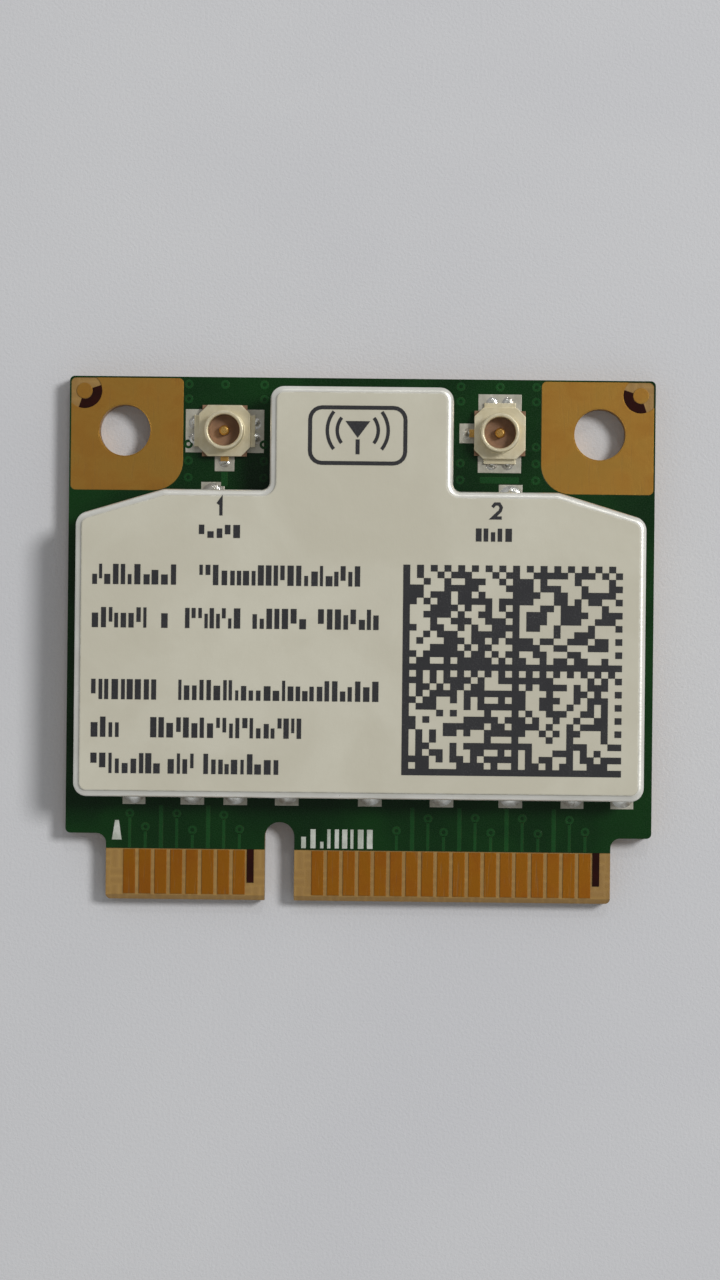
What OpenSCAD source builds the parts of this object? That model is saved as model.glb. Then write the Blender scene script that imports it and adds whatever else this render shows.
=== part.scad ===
// A half-length wireless network card for a laptop: a notched circuit board with gold edge contacts,
// two screw holes, two coaxial antenna connectors, and a folded metal shield over the radio circuits.
// X runs along the contact edge, Y from the contacts to the antenna end, Z up out of the component side.
// The origin is under the middle of the board, on the plane that the card lies on.

/* [Board] */
// Width of the board
board_w = 29.85; // [29.4:0.05:30.4]
// Length of the board from the contact edge to the antenna end
board_l = 26.65; // [26.4:0.05:27.2]
// Thickness of the bare laminate
board_t = 1.0; // [0.8:0.05:1.2]
// Thickness of the lands and of the green mask film
film_t = 0.035; // [0.025:0.005:0.06]
// Radius of the outer corners
board_corner_r = 0.25; // [0.15:0.05:0.4]
// Width of the contact tab that enters the socket
tab_w = 25.7; // [25.4:0.05:26]
// Length of the tab below the shoulders
tab_l = 3.35; // [3.2:0.05:3.6]
// Radius where the tab meets the shoulders
tab_root_r = 0.5; // [0.3:0.05:0.7]
// Bevel along the contact edge
bevel = 0.25; // [0.15:0.05:0.35]
// Width of the key notch
notch_w = 1.5; // [1.3:0.05:1.6]
// Depth of the key notch
notch_l = 4.0; // [3.7:0.05:4.2]
// From the left side of the tab to the middle of the notch
notch_from_tab = 8.85; // [8.8:0.01:8.9]

/* [Edge contacts] */
// Distance between neighbouring contacts
contact_pitch = 0.8; // [0.76:0.01:0.82]
// Width of one contact
contact_w = 0.6; // [0.5:0.02:0.66]
// From the board's edge to the top of the contacts
contact_top = 2.55; // [2.3:0.05:2.8]
// From the board's edge to the bottom of the contacts
contact_bottom = 0.3; // [0.3:0.02:0.5]
// Contacts left of the notch, on each side
contacts_left = 8; // [6:1:8]
// Contacts right of the notch, on each side
contacts_right = 18; // [12:1:18]
// From the left side of the tab to the middle of the first contact
first_contact = 1.2; // [1.15:0.01:1.25]
// From the last contact before the notch to the first one after it
key_gap = 4.0; // [3.9:0.05:4.1]
// Sideways shift of the contacts on the underside
lower_shift = -0.4; // [-0.5:0.05:0]
// Width of the mask strip that ends each group of contacts
strip_w = 0.35; // [0.25:0.05:0.4]
// Length of that strip
strip_l = 1.7; // [1:0.1:2]

/* [Screw holes] */
// Diameter of the screw holes
hole_d = 2.6; // [2.2:0.05:2.8]
// From the board's sides to the middle of the holes
hole_from_side = 2.825; // [2.6:0.025:3]
// From the antenna end of the board to the middle of the holes
hole_from_back = 2.75; // [2.6:0.05:2.9]
// Plating in each hole
plating_t = 0.05; // [0.03:0.01:0.08]
// Side of the square corner land
land_w = 5.8; // [5.4:0.05:5.9]
// Radius of that land's inner corner
land_r = 1.5; // [0.5:0.1:2]
// From the board's side to the land
land_margin = 0.08; // [0.05:0.01:0.15]
// Diameter of the round alignment mark in each corner
mark_d = 0.8; // [0.75:0.01:0.85]
// Width of the mask ring round that mark
mark_ring = 0.5; // [0.48:0.01:0.52]
// From the board's sides to the middle of the mark
mark_inset = 0.75; // [0.72:0.01:0.76]

/* [Shield] */
// From the board's side to the shield lid
side_gap = 0.33; // [0.3:0.01:0.6]
// From the contact edge to the lid's front face
front_gap = 5.3; // [5.2:0.05:5.8]
// From the antenna end of the board to the lid
back_gap = 0.45; // [0.3:0.05:0.7]
// From the antenna end of the board to the shelf beside the neck
shelf_gap = 5.8; // [5.6:0.05:6.2]
// Room for a connector between the shield's neck and the corner land
bay_w = 4.5; // [4.3:0.05:4.6]
// From the middle of the board to where the shoulders start to slope
shoulder_x = 10; // [9.6:0.1:10.4]
// Height of the lid's top above the board
lid_h = 2.2; // [2:0.05:2.4]
// Radius of the lid's outer corners in plan
lid_r = 0.7; // [0.7:0.05:0.9]
// Radius of its inner corners in plan
lid_inner_r = 0.4; // [0.3:0.05:0.6]
// Sheet thickness of the lid
lid_t = 0.15; // [0.1:0.01:0.2]
// Outside radius of the lid's folded edge
fold_r = 0.3; // [0.25:0.01:0.35]
// Depth of the lid's skirt from its top
skirt_h = 1.05; // [0.9:0.05:1.2]
// Width of the slots that part the skirt into spring fingers
slot_w = 0.3; // [0.2:0.05:0.5]
// Sheet thickness of the fence
fence_t = 0.2; // [0.15:0.01:0.25]
// Gap between the skirt and the fence
snap_gap = 0.05; // [0.03:0.01:0.08]
// Width of the fence's top flange
flange_w = 0.6; // [0.4:0.05:0.8]
// Height of the openings between the fence's feet
foot_h = 0.3; // [0.2:0.05:0.4]
// Width of one foot
foot_w = 1.2; // [0.9:0.05:1.4]
// Depth of the snap dimples
dimple_depth = 0.08; // [0.06:0.01:0.1]
// Radius of the ball that presses the dimples
dimple_r = 0.4; // [0.3:0.05:0.5]
// From the middle of the board to the inner partition
partition_x = 0.2; // [0:0.1:0.4]
// Reach of the solder in front of the lid
solder_reach = 0.6; // [0.4:0.05:0.7]
// Height of the solder fillets
solder_h = 0.45; // [0.3:0.05:0.6]

/* [Label] */
// Thickness of the label
label_t = 0.08; // [0.05:0.01:0.12]
// From the lid's outside to the label
label_inset = 0.32; // [0.31:0.01:0.4]
// Thickness of the printed marks
print_t = 0.02; // [0.01:0.005:0.03]
// Side of the printed matrix
matrix_w = 11; // [10.5:0.1:11.4]
// Height of a line of print
print_h = 1.0; // [0.8:0.05:1.1]

/* [Antenna connectors] */
// From the shield's neck to the middle of each connector
connector_from_neck = 2.375; // [2.3:0.005:2.4]
// Outer diameter of the snap ring
ring_d = 2.0; // [1.9:0.02:2.1]
// Wall of the snap ring
ring_t = 0.2; // [0.15:0.01:0.25]
// Depth of the groove round the ring
groove_depth = 0.09; // [0.05:0.01:0.1]
// Height of the connector
connector_h = 1.25; // [1.15:0.05:1.35]
// Side of the ground plate
plate_w = 2.6; // [2.5:0.05:2.7]
// Chamfer of the ground plate's corners
plate_chamfer = 0.45; // [0.3:0.05:0.6]
// Thickness of the connector's sheet parts
plate_t = 0.15; // [0.1:0.01:0.18]
// Height of the moulded base
base_h = 0.28; // [0.25:0.01:0.35]
// Diameter of the centre pin
pin_d = 0.5; // [0.4:0.02:0.56]
// Height of the centre pin
pin_h = 0.95; // [0.8:0.05:1.05]
// Width across the two ground tabs
tabs_w = 3.1; // [3:0.05:3.3]
// Width of one ground tab
ground_tab_w = 1.6; // [1.3:0.05:1.7]
// Width of the signal tail
tail_w = 0.4; // [0.3:0.02:0.5]
// From the connector's middle to the end of the tail
tail_l = 1.55; // [1.45:0.05:1.65]

/* [Parts under the shield] */
// Side of the radio chip
chip_w = 8.6; // [8:0.1:8.8]
// Height of the radio chip above its solder balls
chip_h = 0.95; // [0.8:0.05:1.1]
// Solder balls along one side
balls = 9; // [7:1:10]
// Diameter of one ball
ball_d = 0.4; // [0.35:0.01:0.45]
// Side of the larger front-end module
module_a_w = 4; // [3.6:0.1:4.2]
// Side of the smaller front-end module
module_b_w = 3; // [2.8:0.1:3.2]
// Height of the leadless packages
leadless_h = 0.75; // [0.6:0.05:0.9]
// Length of the crystal
crystal_l = 3.2; // [3:0.1:3.3]
// Width of the crystal
crystal_w = 2.5; // [2.3:0.1:2.6]
// Length of a power inductor
coil_l = 2.5; // [2.3:0.1:2.7]
// Width of a power inductor
coil_w = 2.0; // [1.8:0.1:2.2]
// Height of a power inductor
coil_h = 1.2; // [1:0.1:1.4]
// Length of a filter block
filter_l = 2.0; // [1.8:0.1:2.2]
// Width of a filter block
filter_w = 1.25; // [1.1:0.05:1.35]
// Height of a filter block
filter_h = 0.9; // [0.7:0.05:1]
// Length of a chip capacitor, resistor or inductor
small_l = 1.0; // [0.9:0.05:1.1]
// Width of one of these
small_w = 0.5; // [0.4:0.02:0.56]
// Height of a chip capacitor
capacitor_h = 0.5; // [0.4:0.05:0.6]
// Height of a chip resistor
resistor_h = 0.35; // [0.3:0.01:0.4]
// Free space between neighbouring parts
part_gap = 0.35; // [0.3:0.05:0.4]

/* [Hidden] */
$fn = 48;
slack = 0.01;      // clearance between the connector's nested pieces
past = 0.5;        // how far a cutter runs past what it cuts
mask_gap = 0.05;   // strip of bare laminate between the mask and a land's edge

// Heights
core_z = film_t;               // underside of the laminate
deck_z = core_z + board_t;     // top of the laminate
land_z = deck_z + film_t;      // top of the lands, where the parts stand
lid_z = land_z + lid_h;        // top of the lid
fence_z = lid_z - lid_t;       // top of the fence, where the lid rests
flange_z = fence_z - fence_t;  // underside of the fence's flange
skirt_z = lid_z - skirt_h;     // lower edge of the lid's skirt
label_z = lid_z + label_t;     // top of the label

// Board outline
edge_y = -board_l / 2;         // contact edge
back_y = board_l / 2;          // antenna end
side_x = board_w / 2;
tab_x = tab_w / 2;
tab_y = edge_y + tab_l;        // shoulders beside the tab
notch_x = -tab_x + notch_from_tab;
mask_y = edge_y + contact_top + mask_gap;
strip_gap = 0.1;
drill_d = hole_d + 2 * plating_t;
hole_x = side_x - hole_from_side;
hole_y = back_y - hole_from_back;
mark_x = side_x - mark_inset;
mark_y = back_y - mark_inset;

// Round test lands on the underside
test_d = 0.9;
test_pitch = 2.2;
test_columns = 5;
test_rows = 3;
test_x = -(test_columns - 1) / 2 * test_pitch;
test_y = -2.5;

// Shield outline and what stands along it
shield_x = side_x - side_gap;
front_y = edge_y + front_gap;
rear_y = back_y - back_gap;
shelf_y = back_y - shelf_gap;
shoulder_fall = 7 / 24;  // slope of the shoulders, whose sine and cosine are 0.28 and 0.96
shoulder_y = shelf_y - (shield_x - shoulder_x) * shoulder_fall;
neck_x = side_x - land_w - bay_w;
fence_inset = lid_t + snap_gap;
inner_inset = fence_inset + fence_t;
side_l = shoulder_y - front_y;
neck_l = rear_y - shelf_y;
shelf_l = shoulder_x - neck_x;

// What stands along the walls, as shares of each wall's length from its middle or its start
front_feet = shield_x * [-0.79, -0.58, -0.43, -0.25, 0.04, 0.29, 0.53, 0.75, 0.93];
side_feet = [for (share = [0.2, 0.43, 0.67, 0.9]) front_y + share * side_l];
shelf_feet = [neck_x + 0.55 * shelf_l];
neck_feet = [for (share = [0.26, 0.78]) shelf_y + share * neck_l];
rear_feet = [0.56 * neck_x];
front_slots = shield_x * [-2 / 3, -1 / 3, 0, 1 / 3, 2 / 3];
front_dimples = shield_x * [-5 / 6, -1 / 2, -1 / 6, 1 / 6, 1 / 2, 5 / 6];
side_slots = [front_y + side_l / 2];
side_dimples = [for (share = [0.25, 0.75]) front_y + share * side_l];
rear_dimples = [0];
dimple_z = skirt_z + (skirt_h - fold_r) / 2;
window_w = 2 * dimple_r;
window_h = dimple_r;
bump_root = 0.02;
cut_margin = 0.1;
lip_w = 0.08;            // flat lip past the fold
middle_lap = 0.1;        // lap of the two halves of a folded wall
land_out = 0.03;         // reach of the shield's land outside the lid
land_in = 0.15;          // reach of that land inside the fence
pad_spare = 0.05;
crest_share = 0.2;       // flat crest of a solder fillet, as a share of its reach
narrow_reach = fence_inset + land_out;
partition_land_w = fence_t + 2 * land_in;

// Print on the label
matrix_from_side = 1.35;
matrix_from_front = 1.2;
matrix_x = shield_x - matrix_from_side - matrix_w;
matrix_y = front_y + matrix_from_front;
matrix_cells = 22;
field_cells = matrix_cells / 2;
cell_w = matrix_w / matrix_cells;
row_split = 0.02;
text_from_side = 1.1;
text_x = -shield_x + text_from_side;
text_rows = [10.15, 12.3, 15.95, 17.85, 19.65];
text_words = [[3.6, 1.2, 6.9], [2.6, 3.8, 2.4, 2.8], [2.8, 10.2], [1.4, 6.4], [2.6, 1.0, 3.4]];
word_space = 0.9;
sign_size = [5, 3];
sign_line = 0.3;
sign_arm = 0.25 * sign_size.y;
sign_foot = 0.36 * sign_size.y;
sign_from_back = 3.2;
bar_size = [2, 0.75];
bar_from_back = 7.95;

// Connector
connector_x = neck_x + connector_from_neck;
ring_r = ring_d / 2;
bore_r = ring_r - ring_t;
plate_z = base_h;
ring_z = plate_z + plate_t;
groove_rise = 0.3;
groove_z = ring_z + groove_rise;
lip_chamfer = 0.05;
boss_h = ring_z + lip_chamfer;
base_y = plate_w / 2;
leg_x = plate_w / 2;
body_x = leg_x - plate_t - slack;
tail_t = plate_t;
tip_chamfer = 0.08;
joint_reach = 0.3;
ground_pad = [1.05, 2.2];
signal_pad = [1.0, 1.05];
ground_pad_x = 1.475;
signal_pad_y = 1.525;

// Parts under the shield
wall_space = 0.4;        // room between the walls and the parts
coil_space = 1.2;        // room round the power inductors
module_space = 1.6;      // room left of the larger module
neck_space = 1.9;        // from the neck's rear wall to the middle of its filters
pad_t = film_t;
pad_out = 0.15;          // reach of a land past the part's end
small_cap = 0.25;        // end cap of the small parts
coil_cap = 0.4;
coil_cap_h = 0.6;
cap_step = 0.3;
dot_d = 0.3;
dot_inset = 0.45;
dot_depth = 0.04;
leadless_pitch = 0.5;
leadless_pad = [0.28, 0.4];
leadless_rim = 0.65;
ball_pitch = chip_w / (balls + 1);
ball_h = 0.25;
substrate_h = 0.3;
crystal_h = 0.8;
crystal_base_h = 0.45;
crystal_rim = 0.15;
castellation_r = 0.2;
flash_size = [1.9, 3.0];
regulator_w = 3;
small_pitch = small_w + 2 * part_gap;
beside_chip = chip_w / 2 + part_gap + small_l / 2;
crystal_x = -shield_x + inner_inset + part_gap + crystal_w / 2;
chip_x = crystal_x + crystal_w / 2 + part_gap + chip_w / 2;
chip_y = -0.3;
beside_row = 3.4;
crystal_y = chip_y + beside_row;
flash_y = chip_y - beside_row;
module_y = 2.7;
module_a_x = partition_x + module_space + module_a_w / 2;
between_modules_x = module_a_x + module_a_w / 2 + part_gap + small_l / 2;
module_b_x = between_modules_x + small_l / 2 + part_gap + module_b_w / 2;
beyond_modules_x = module_b_x + module_b_w / 2 + part_gap + small_l / 2;
filter_a_y = module_y + module_a_w / 2 + part_gap + filter_w / 2;
filter_b_y = module_y + module_b_w / 2 + part_gap + filter_w / 2;
neck_filter_x = (neck_x - inner_inset + partition_x + fence_t / 2) / 2;
neck_filter_y = rear_y - inner_inset - neck_space;
neck_row_x = neck_filter_x - small_pitch / 2;
neck_row_y = neck_filter_y - filter_l / 2 - part_gap - small_l / 2;
coil_y = front_y + inner_inset + wall_space + coil_w / 2;
coil_a_x = partition_x + coil_space + coil_l / 2;
coil_b_x = coil_a_x + coil_l + coil_space;
regulator_x = coil_b_x + coil_l / 2 + coil_space + regulator_w / 2;
regulator_y = front_y + inner_inset + wall_space + regulator_w / 2;
row_x = partition_x + coil_space;
row_a_y = module_y - module_a_w / 2 - part_gap - small_l / 2;
row_b_y = row_a_y - small_l - part_gap;
above_coils_y = coil_y + coil_w / 2 + part_gap + small_l / 2;

// Outlines: a list of corners, anticlockwise, each rounded with its own radius

function wrap(list, i) = list[(i + len(list)) % len(list)];
function unit(v) = v / norm(v);
function left_of(v) = [-v.y, v.x];
function along(pts, i) = unit(wrap(pts, i + 1) - wrap(pts, i));
function turn_at(pts, i) =
    let (a = along(pts, i - 1), b = along(pts, i)) atan2(a.x * b.y - a.y * b.x, a * b);
function heading(v) = atan2(v.y, v.x);

// Every side moved inwards by d
function inset(pts, d) = [for (i = [0 : len(pts) - 1])
    let (a = left_of(along(pts, i - 1)), b = left_of(along(pts, i))) pts[i] + (a + b) * d / (1 + a * b)];
function inset_radii(pts, radii, d, least = 0.05) = [for (i = [0 : len(pts) - 1])
    turn_at(pts, i) > 0 ? max(radii[i] - d, least) : radii[i] + d];

// Where the rounding of corner i starts, where it ends and the middle of its arc
function cut_back(pts, radii, i) = radii[i] * tan(abs(turn_at(pts, i)) / 2);
function arc_start(pts, radii, i) = pts[i] - along(pts, i - 1) * cut_back(pts, radii, i);
function arc_end(pts, radii, i) = pts[i] + along(pts, i) * cut_back(pts, radii, i);
function arc_middle(pts, radii, i) =
    arc_start(pts, radii, i) + left_of(along(pts, i - 1)) * radii[i] * sign(turn_at(pts, i));

// The flat shape inside a rounded outline
module rounded(pts, radii) {
    difference() {
        union() {
            polygon([for (i = [0 : len(pts) - 1]) each turn_at(pts, i) > 0
                ? [arc_start(pts, radii, i), arc_end(pts, radii, i)]
                : [arc_start(pts, radii, i), arc_middle(pts, radii, i), arc_end(pts, radii, i)]]);
            for (i = [0 : len(pts) - 1]) if (turn_at(pts, i) > 0)
                translate(arc_middle(pts, radii, i)) circle(radii[i]);
        }
        for (i = [0 : len(pts) - 1]) if (turn_at(pts, i) < 0)
            translate(arc_middle(pts, radii, i)) circle(radii[i]);
    }
}

// A section swept along straight runs and corners, each starting where the last one ends. It sets
// off along +Y from the origin; its x is to the right of the way, its y is up. A step is the length
// of a run and the turn and radius of the corner that ends it.
module swept(steps, i = 0) {
    run = steps[i][0];
    turn = steps[i][1];
    side = turn < 0 ? 1 : -1;
    r = steps[i][2];
    translate([0, run, 0]) rotate([90, 0, 0]) linear_extrude(run) children();
    if (i < len(steps) - 1) translate([side * r, run, 0]) {
        rotate(turn < 0 ? 180 + turn : 0) rotate_extrude(angle = abs(turn))
            translate([r, 0]) mirror([turn < 0 ? 1 : 0, 0]) children();
        rotate(turn) translate([-side * r, 0, 0]) swept(steps, i + 1) children();
    }
}

module at_level(z, height) {
    translate([0, 0, z]) linear_extrude(height) children();
}

module block(size, height) {
    translate([-size.x / 2, -size.y / 2, 0]) cube([size.x, size.y, height]);
}

module both_sides() {
    children();
    mirror([1, 0, 0]) children();
}

// Board

board_pts = [[-tab_x, edge_y], [tab_x, edge_y], [tab_x, tab_y], [side_x, tab_y],
    [side_x, back_y], [-side_x, back_y], [-side_x, tab_y], [-tab_x, tab_y]];
board_radii = [board_corner_r, board_corner_r, tab_root_r, board_corner_r, board_corner_r, board_corner_r,
    board_corner_r, tab_root_r];

module notch() {
    root_y = edge_y + notch_l - notch_w / 2;
    translate([notch_x - notch_w / 2, edge_y - past]) square([notch_w, root_y - edge_y + past]);
    translate([notch_x, root_y]) circle(d = notch_w);
}

module board_outline() {
    difference() {
        rounded(board_pts, board_radii);
        notch();
    }
}

module holes(d) {
    for (s = [-1, 1]) translate([s * hole_x, hole_y]) circle(d = d);
}

module circuit_board() {
    color([0.72, 0.66, 0.42]) difference() {
        at_level(core_z, board_t) difference() {
            board_outline();
            holes(drill_d);
        }
        for (z = [core_z, deck_z]) translate([0, edge_y, z]) rotate([45, 0, 0])
            cube([board_w + past, bevel * sqrt(2), bevel * sqrt(2)], center = true);
    }
}

// Copper lands, gold plated

// The middles of the contacts that lie on the tab
function contact_rows(shift) = [
    for (k = [0 : contacts_left - 1]) -tab_x + first_contact + shift + k * contact_pitch,
    for (k = [0 : contacts_right - 1])
        -tab_x + first_contact + shift + (contacts_left - 1 + k) * contact_pitch + key_gap];
function contact_places(shift) = [
    for (x = contact_rows(shift)) if (x + contact_w / 2 + strip_gap < tab_x) x];

module contacts(shift, z) {
    color([0.86, 0.66, 0.32]) for (x = contact_places(shift))
        translate([x - contact_w / 2, edge_y + contact_bottom, z])
            cube([contact_w, contact_top - contact_bottom, film_t]);
}

module edge_contacts_top() {
    contacts(0, deck_z);
}

module edge_contacts_bottom() {
    contacts(lower_shift, 0);
}

// One corner land in plan, at the right of the board

module corner_square() {
    size = land_w - land_margin;
    far = [side_x - land_margin, back_y - land_margin];
    pts = [far - [size, size], far - [0, size], far, far - [size, 0]];
    rounded(pts, [land_r, board_corner_r, board_corner_r, board_corner_r]);
}

module corner_land() {
    difference() {
        corner_square();
        translate([hole_x, hole_y]) circle(d = drill_d);
        translate([mark_x, mark_y]) circle(mark_d / 2 + mark_ring);
    }
}

module mounting_lands_top() {
    color([0.84, 0.62, 0.28]) both_sides() at_level(deck_z, film_t) corner_land();
}

module mounting_lands_bottom() {
    color([0.84, 0.62, 0.28]) both_sides() at_level(0, film_t) corner_land();
}

module bore_plating() {
    color([0.84, 0.62, 0.28]) at_level(0, land_z) difference() {
        holes(drill_d);
        holes(hole_d);
    }
}

module marks(d) {
    for (s = [-1, 1]) translate([s * mark_x, mark_y]) circle(d = d);
}

module alignment_marks() {
    color([0.84, 0.62, 0.28]) for (z = [0, deck_z]) at_level(z, film_t) marks(mark_d);
}

// Shield outline, at the lid's outer face

shield_pts = [[-shield_x, front_y], [shield_x, front_y], [shield_x, shoulder_y],
    [shoulder_x, shelf_y], [neck_x, shelf_y], [neck_x, rear_y], [-neck_x, rear_y],
    [-neck_x, shelf_y], [-shoulder_x, shelf_y], [-shield_x, shoulder_y]];
shield_radii = [for (i = [0 : len(shield_pts) - 1])
    turn_at(shield_pts, i) > 0 ? lid_r : lid_inner_r];

module shield_area(d) {
    rounded(inset(shield_pts, d), inset_radii(shield_pts, shield_radii, d));
}

module shield_band(outer, inner) {
    difference() {
        shield_area(outer);
        shield_area(inner);
    }
}

// The section of an upright sheet that folds inwards at its top and ends in a flat lip
module fold_section(bottom, top, sheet) {
    translate([-sheet, bottom]) square([sheet, top - fold_r - bottom]);
    translate([-fold_r, top - fold_r]) intersection() {
        difference() {
            circle(fold_r);
            circle(fold_r - sheet);
        }
        square(fold_r);
    }
    translate([-fold_r - lip_w, top - sheet]) square([lip_w, sheet]);
}

// The right half of the shield's outline as steps, from the middle of the front to the middle of
// the back. Moved inwards by d, it keeps its runs and changes only its radii.
half_corners = [1, 2, 3, 4, 5];
function run_before(i) = i == half_corners[0]
    ? arc_start(shield_pts, shield_radii, i).x + middle_lap
    : norm(arc_start(shield_pts, shield_radii, i) - arc_end(shield_pts, shield_radii, i - 1));
function half_steps(d) = [
    for (i = half_corners) let (turn = turn_at(shield_pts, i))
        [run_before(i), turn, shield_radii[i] - sign(turn) * d],
    [rear_run, 0, 0]];
rear_run = arc_end(shield_pts, shield_radii, half_corners[len(half_corners) - 1]).x + middle_lap;

module folded_wall(d, bottom, top, sheet) {
    both_sides() translate([-middle_lap, front_y + d]) rotate(-90) swept(half_steps(d))
        fold_section(bottom, top, sheet);
}

// Places along the shield's sides: x, y and the direction that the side faces

function front_places(list) = [for (x = list) [x, front_y, -90]];
function rear_places(list) = [for (x = list, s = x == 0 ? [1] : [-1, 1]) [s * x, rear_y, 90]];
function shelf_places(list) = [for (x = list, s = [-1, 1]) [s * x, shelf_y, 90]];
function side_places(list) = [for (y = list, s = [-1, 1]) [s * shield_x, y, 90 - 90 * s]];
function neck_places(list) = [for (y = list, s = [-1, 1]) [s * neck_x, y, 90 - 90 * s]];

wide_feet = concat(front_places(front_feet), shelf_places(shelf_feet));
narrow_feet = concat(side_places(side_feet), neck_places(neck_feet), rear_places(rear_feet));
dimples = concat(front_places(front_dimples), side_places(side_dimples),
    shelf_places(shelf_feet), rear_places(rear_dimples));
slots = concat(front_places(front_slots), side_places(side_slots));

// Children stand at each place, d inwards from the lid's face, with their x pointing out
module at_places(places, d) {
    for (p = places) translate([p.x, p.y]) rotate(p[2]) translate([-d, 0]) children();
}

module at_corners() {
    for (i = [0 : len(shield_pts) - 1]) translate(shield_pts[i])
        rotate(heading(along(shield_pts, i)) - turn_at(shield_pts, i) / 2 - 90) children();
}

module skirt_slot() {
    translate([-lid_r, -slot_w / 2, skirt_z - past]) cube([2 * lid_r, slot_w, skirt_h - fold_r + past]);
}

// The ball that presses a dimple, and the part of it that stands proud of the skirt's inner face
module dimple_ball(d) {
    translate([dimple_r - dimple_depth - d, 0, dimple_z]) sphere(dimple_r);
}

module dimple_bump() {
    intersection() {
        dimple_ball(lid_t);
        translate([-lid_t - dimple_depth, -dimple_r, dimple_z - dimple_r])
            cube([dimple_depth + bump_root, 2 * dimple_r, 2 * dimple_r]);
    }
}

module shield_lid() {
    color([0.8, 0.8, 0.77]) union() {
        difference() {
            union() {
                folded_wall(0, skirt_z, lid_z, lid_t);
                at_level(lid_z - lid_t, lid_t) shield_area(fold_r + lip_w / 2);
            }
            at_places(slots, 0) skirt_slot();
            at_corners() skirt_slot();
            at_places(dimples, 0) dimple_ball(0);
        }
        at_places(dimples, 0) dimple_bump();
    }
}

module partition(d, z, height) {
    at_level(z, height) translate([partition_x - fence_t / 2, front_y + d])
        square([fence_t, rear_y - front_y - 2 * d]);
}

module foot_areas() {
    at_places(concat(wide_feet, narrow_feet), inner_inset) translate([-past, -foot_w / 2])
        square([inner_inset + past, foot_w]);
}

// The openings between the feet
module foot_gaps() {
    at_level(land_z - past, foot_h + past) difference() {
        shield_band(fence_inset - cut_margin, inner_inset + cut_margin);
        foot_areas();
    }
}

module fence_windows() {
    at_places(dimples, inner_inset) translate([-cut_margin, -window_w / 2, dimple_z - window_h / 2])
        cube([fence_t + 2 * cut_margin, window_w, window_h]);
}

module shield_fence() {
    color([0.72, 0.7, 0.66]) union() {
        difference() {
            union() {
                folded_wall(fence_inset, land_z, fence_z, fence_t);
                at_level(flange_z, fence_t)
                    shield_band(fence_inset + fold_r + lip_w / 2, fence_inset + flange_w);
            }
            foot_gaps();
            fence_windows();
        }
        partition(fence_inset + fence_t / 2, land_z + foot_h, flange_z + fence_t / 2 - land_z - foot_h);
    }
}

// The ground land that the fence is soldered to, clear of the corner lands

module shield_land_area() {
    difference() {
        union() {
            shield_band(-land_out, inner_inset + land_in);
            at_places(wide_feet, 0) translate([0, -foot_w / 2])
                square([solder_reach - fence_inset + pad_spare, foot_w]);
            translate([partition_x - partition_land_w / 2, front_y])
                square([partition_land_w, rear_y - front_y]);
        }
        both_sides() translate([side_x - land_w - mask_gap, back_y - land_w - mask_gap])
            square(land_w + 2 * mask_gap);
    }
}

module shield_land() {
    color([0.84, 0.62, 0.28]) at_level(deck_z, film_t) shield_land_area();
}

// A half-round solder fillet with a hollow flank, against an upright face at x = 0
module fillet(reach, height) {
    crest = crest_share * reach;
    flank_r = ((reach - crest) ^ 2 + height ^ 2) / (2 * height);
    translate([0, 0, land_z]) rotate(-90) rotate_extrude(angle = 180) difference() {
        square([reach, height]);
        translate([reach, flank_r]) circle(flank_r);
    }
}

module shield_solder() {
    color([0.8, 0.8, 0.8]) {
        at_places(wide_feet, fence_inset) fillet(solder_reach, solder_h);
        at_places(narrow_feet, fence_inset) fillet(narrow_reach, (1 - crest_share) * narrow_reach);
    }
}

// Label and its print

module product_label() {
    color([0.8, 0.8, 0.74]) at_level(lid_z, label_t) shield_area(label_inset);
}

// The matrix is four fields, each with a solid left and lower edge and a dotted right and upper edge
cell_draws = rands(0, 1, matrix_cells * matrix_cells, 7);
function dark(i, j) =
    let (u = i % field_cells, v = j % field_cells)
    i < 0 || i >= matrix_cells ? false
    : u == 0 || v == 0 ? true
    : u == field_cells - 1 ? v % 2 == 0
    : v == field_cells - 1 ? u % 2 == 0
    : cell_draws[i + j * matrix_cells] > 0.5;
function run_length(i, j) = dark(i, j) ? 1 + run_length(i + 1, j) : 0;

module matrix_print() {
    for (j = [0 : matrix_cells - 1], i = [0 : matrix_cells - 1]) if (dark(i, j) && !dark(i - 1, j))
        translate([matrix_x + i * cell_w, matrix_y + j * cell_w])
            square([run_length(i, j) * cell_w, cell_w - row_split]);
}

module word_bars() {
    for (row = [0 : len(text_words) - 1]) {
        words = text_words[row];
        for (k = [0 : len(words) - 1])
            translate([text_x + word_start(words, k), back_y - text_rows[row] - print_h / 2])
                square([words[k], print_h]);
    }
}
function word_start(words, k) = k == 0 ? 0 : word_start(words, k - 1) + words[k - 1] + word_space;

// A plain aerial sign in a frame, and a short bar in front of each connector
module aerial_sign() {
    translate([0, back_y - sign_from_back]) {
        difference() {
            square(sign_size, center = true);
            square(sign_size - [2, 2] * sign_line, center = true);
        }
        polygon([[-sign_arm, sign_arm], [0, -sign_arm / 3], [sign_arm, sign_arm]]);
        translate([-sign_line / 2, -sign_foot]) square([sign_line, sign_foot / 2]);
    }
    both_sides() translate([connector_x, back_y - bar_from_back]) square(bar_size, center = true);
}

module label_print() {
    color([0.16, 0.16, 0.17]) at_level(label_z, print_t) {
        matrix_print();
        word_bars();
        aerial_sign();
    }
}

// Antenna connectors, drawn about their own middle with the signal tail towards -Y

module main_place() {
    translate([-connector_x, hole_y, land_z]) children();
}

module aux_place() {
    translate([connector_x, hole_y, land_z]) rotate(-90) children();
}

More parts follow.
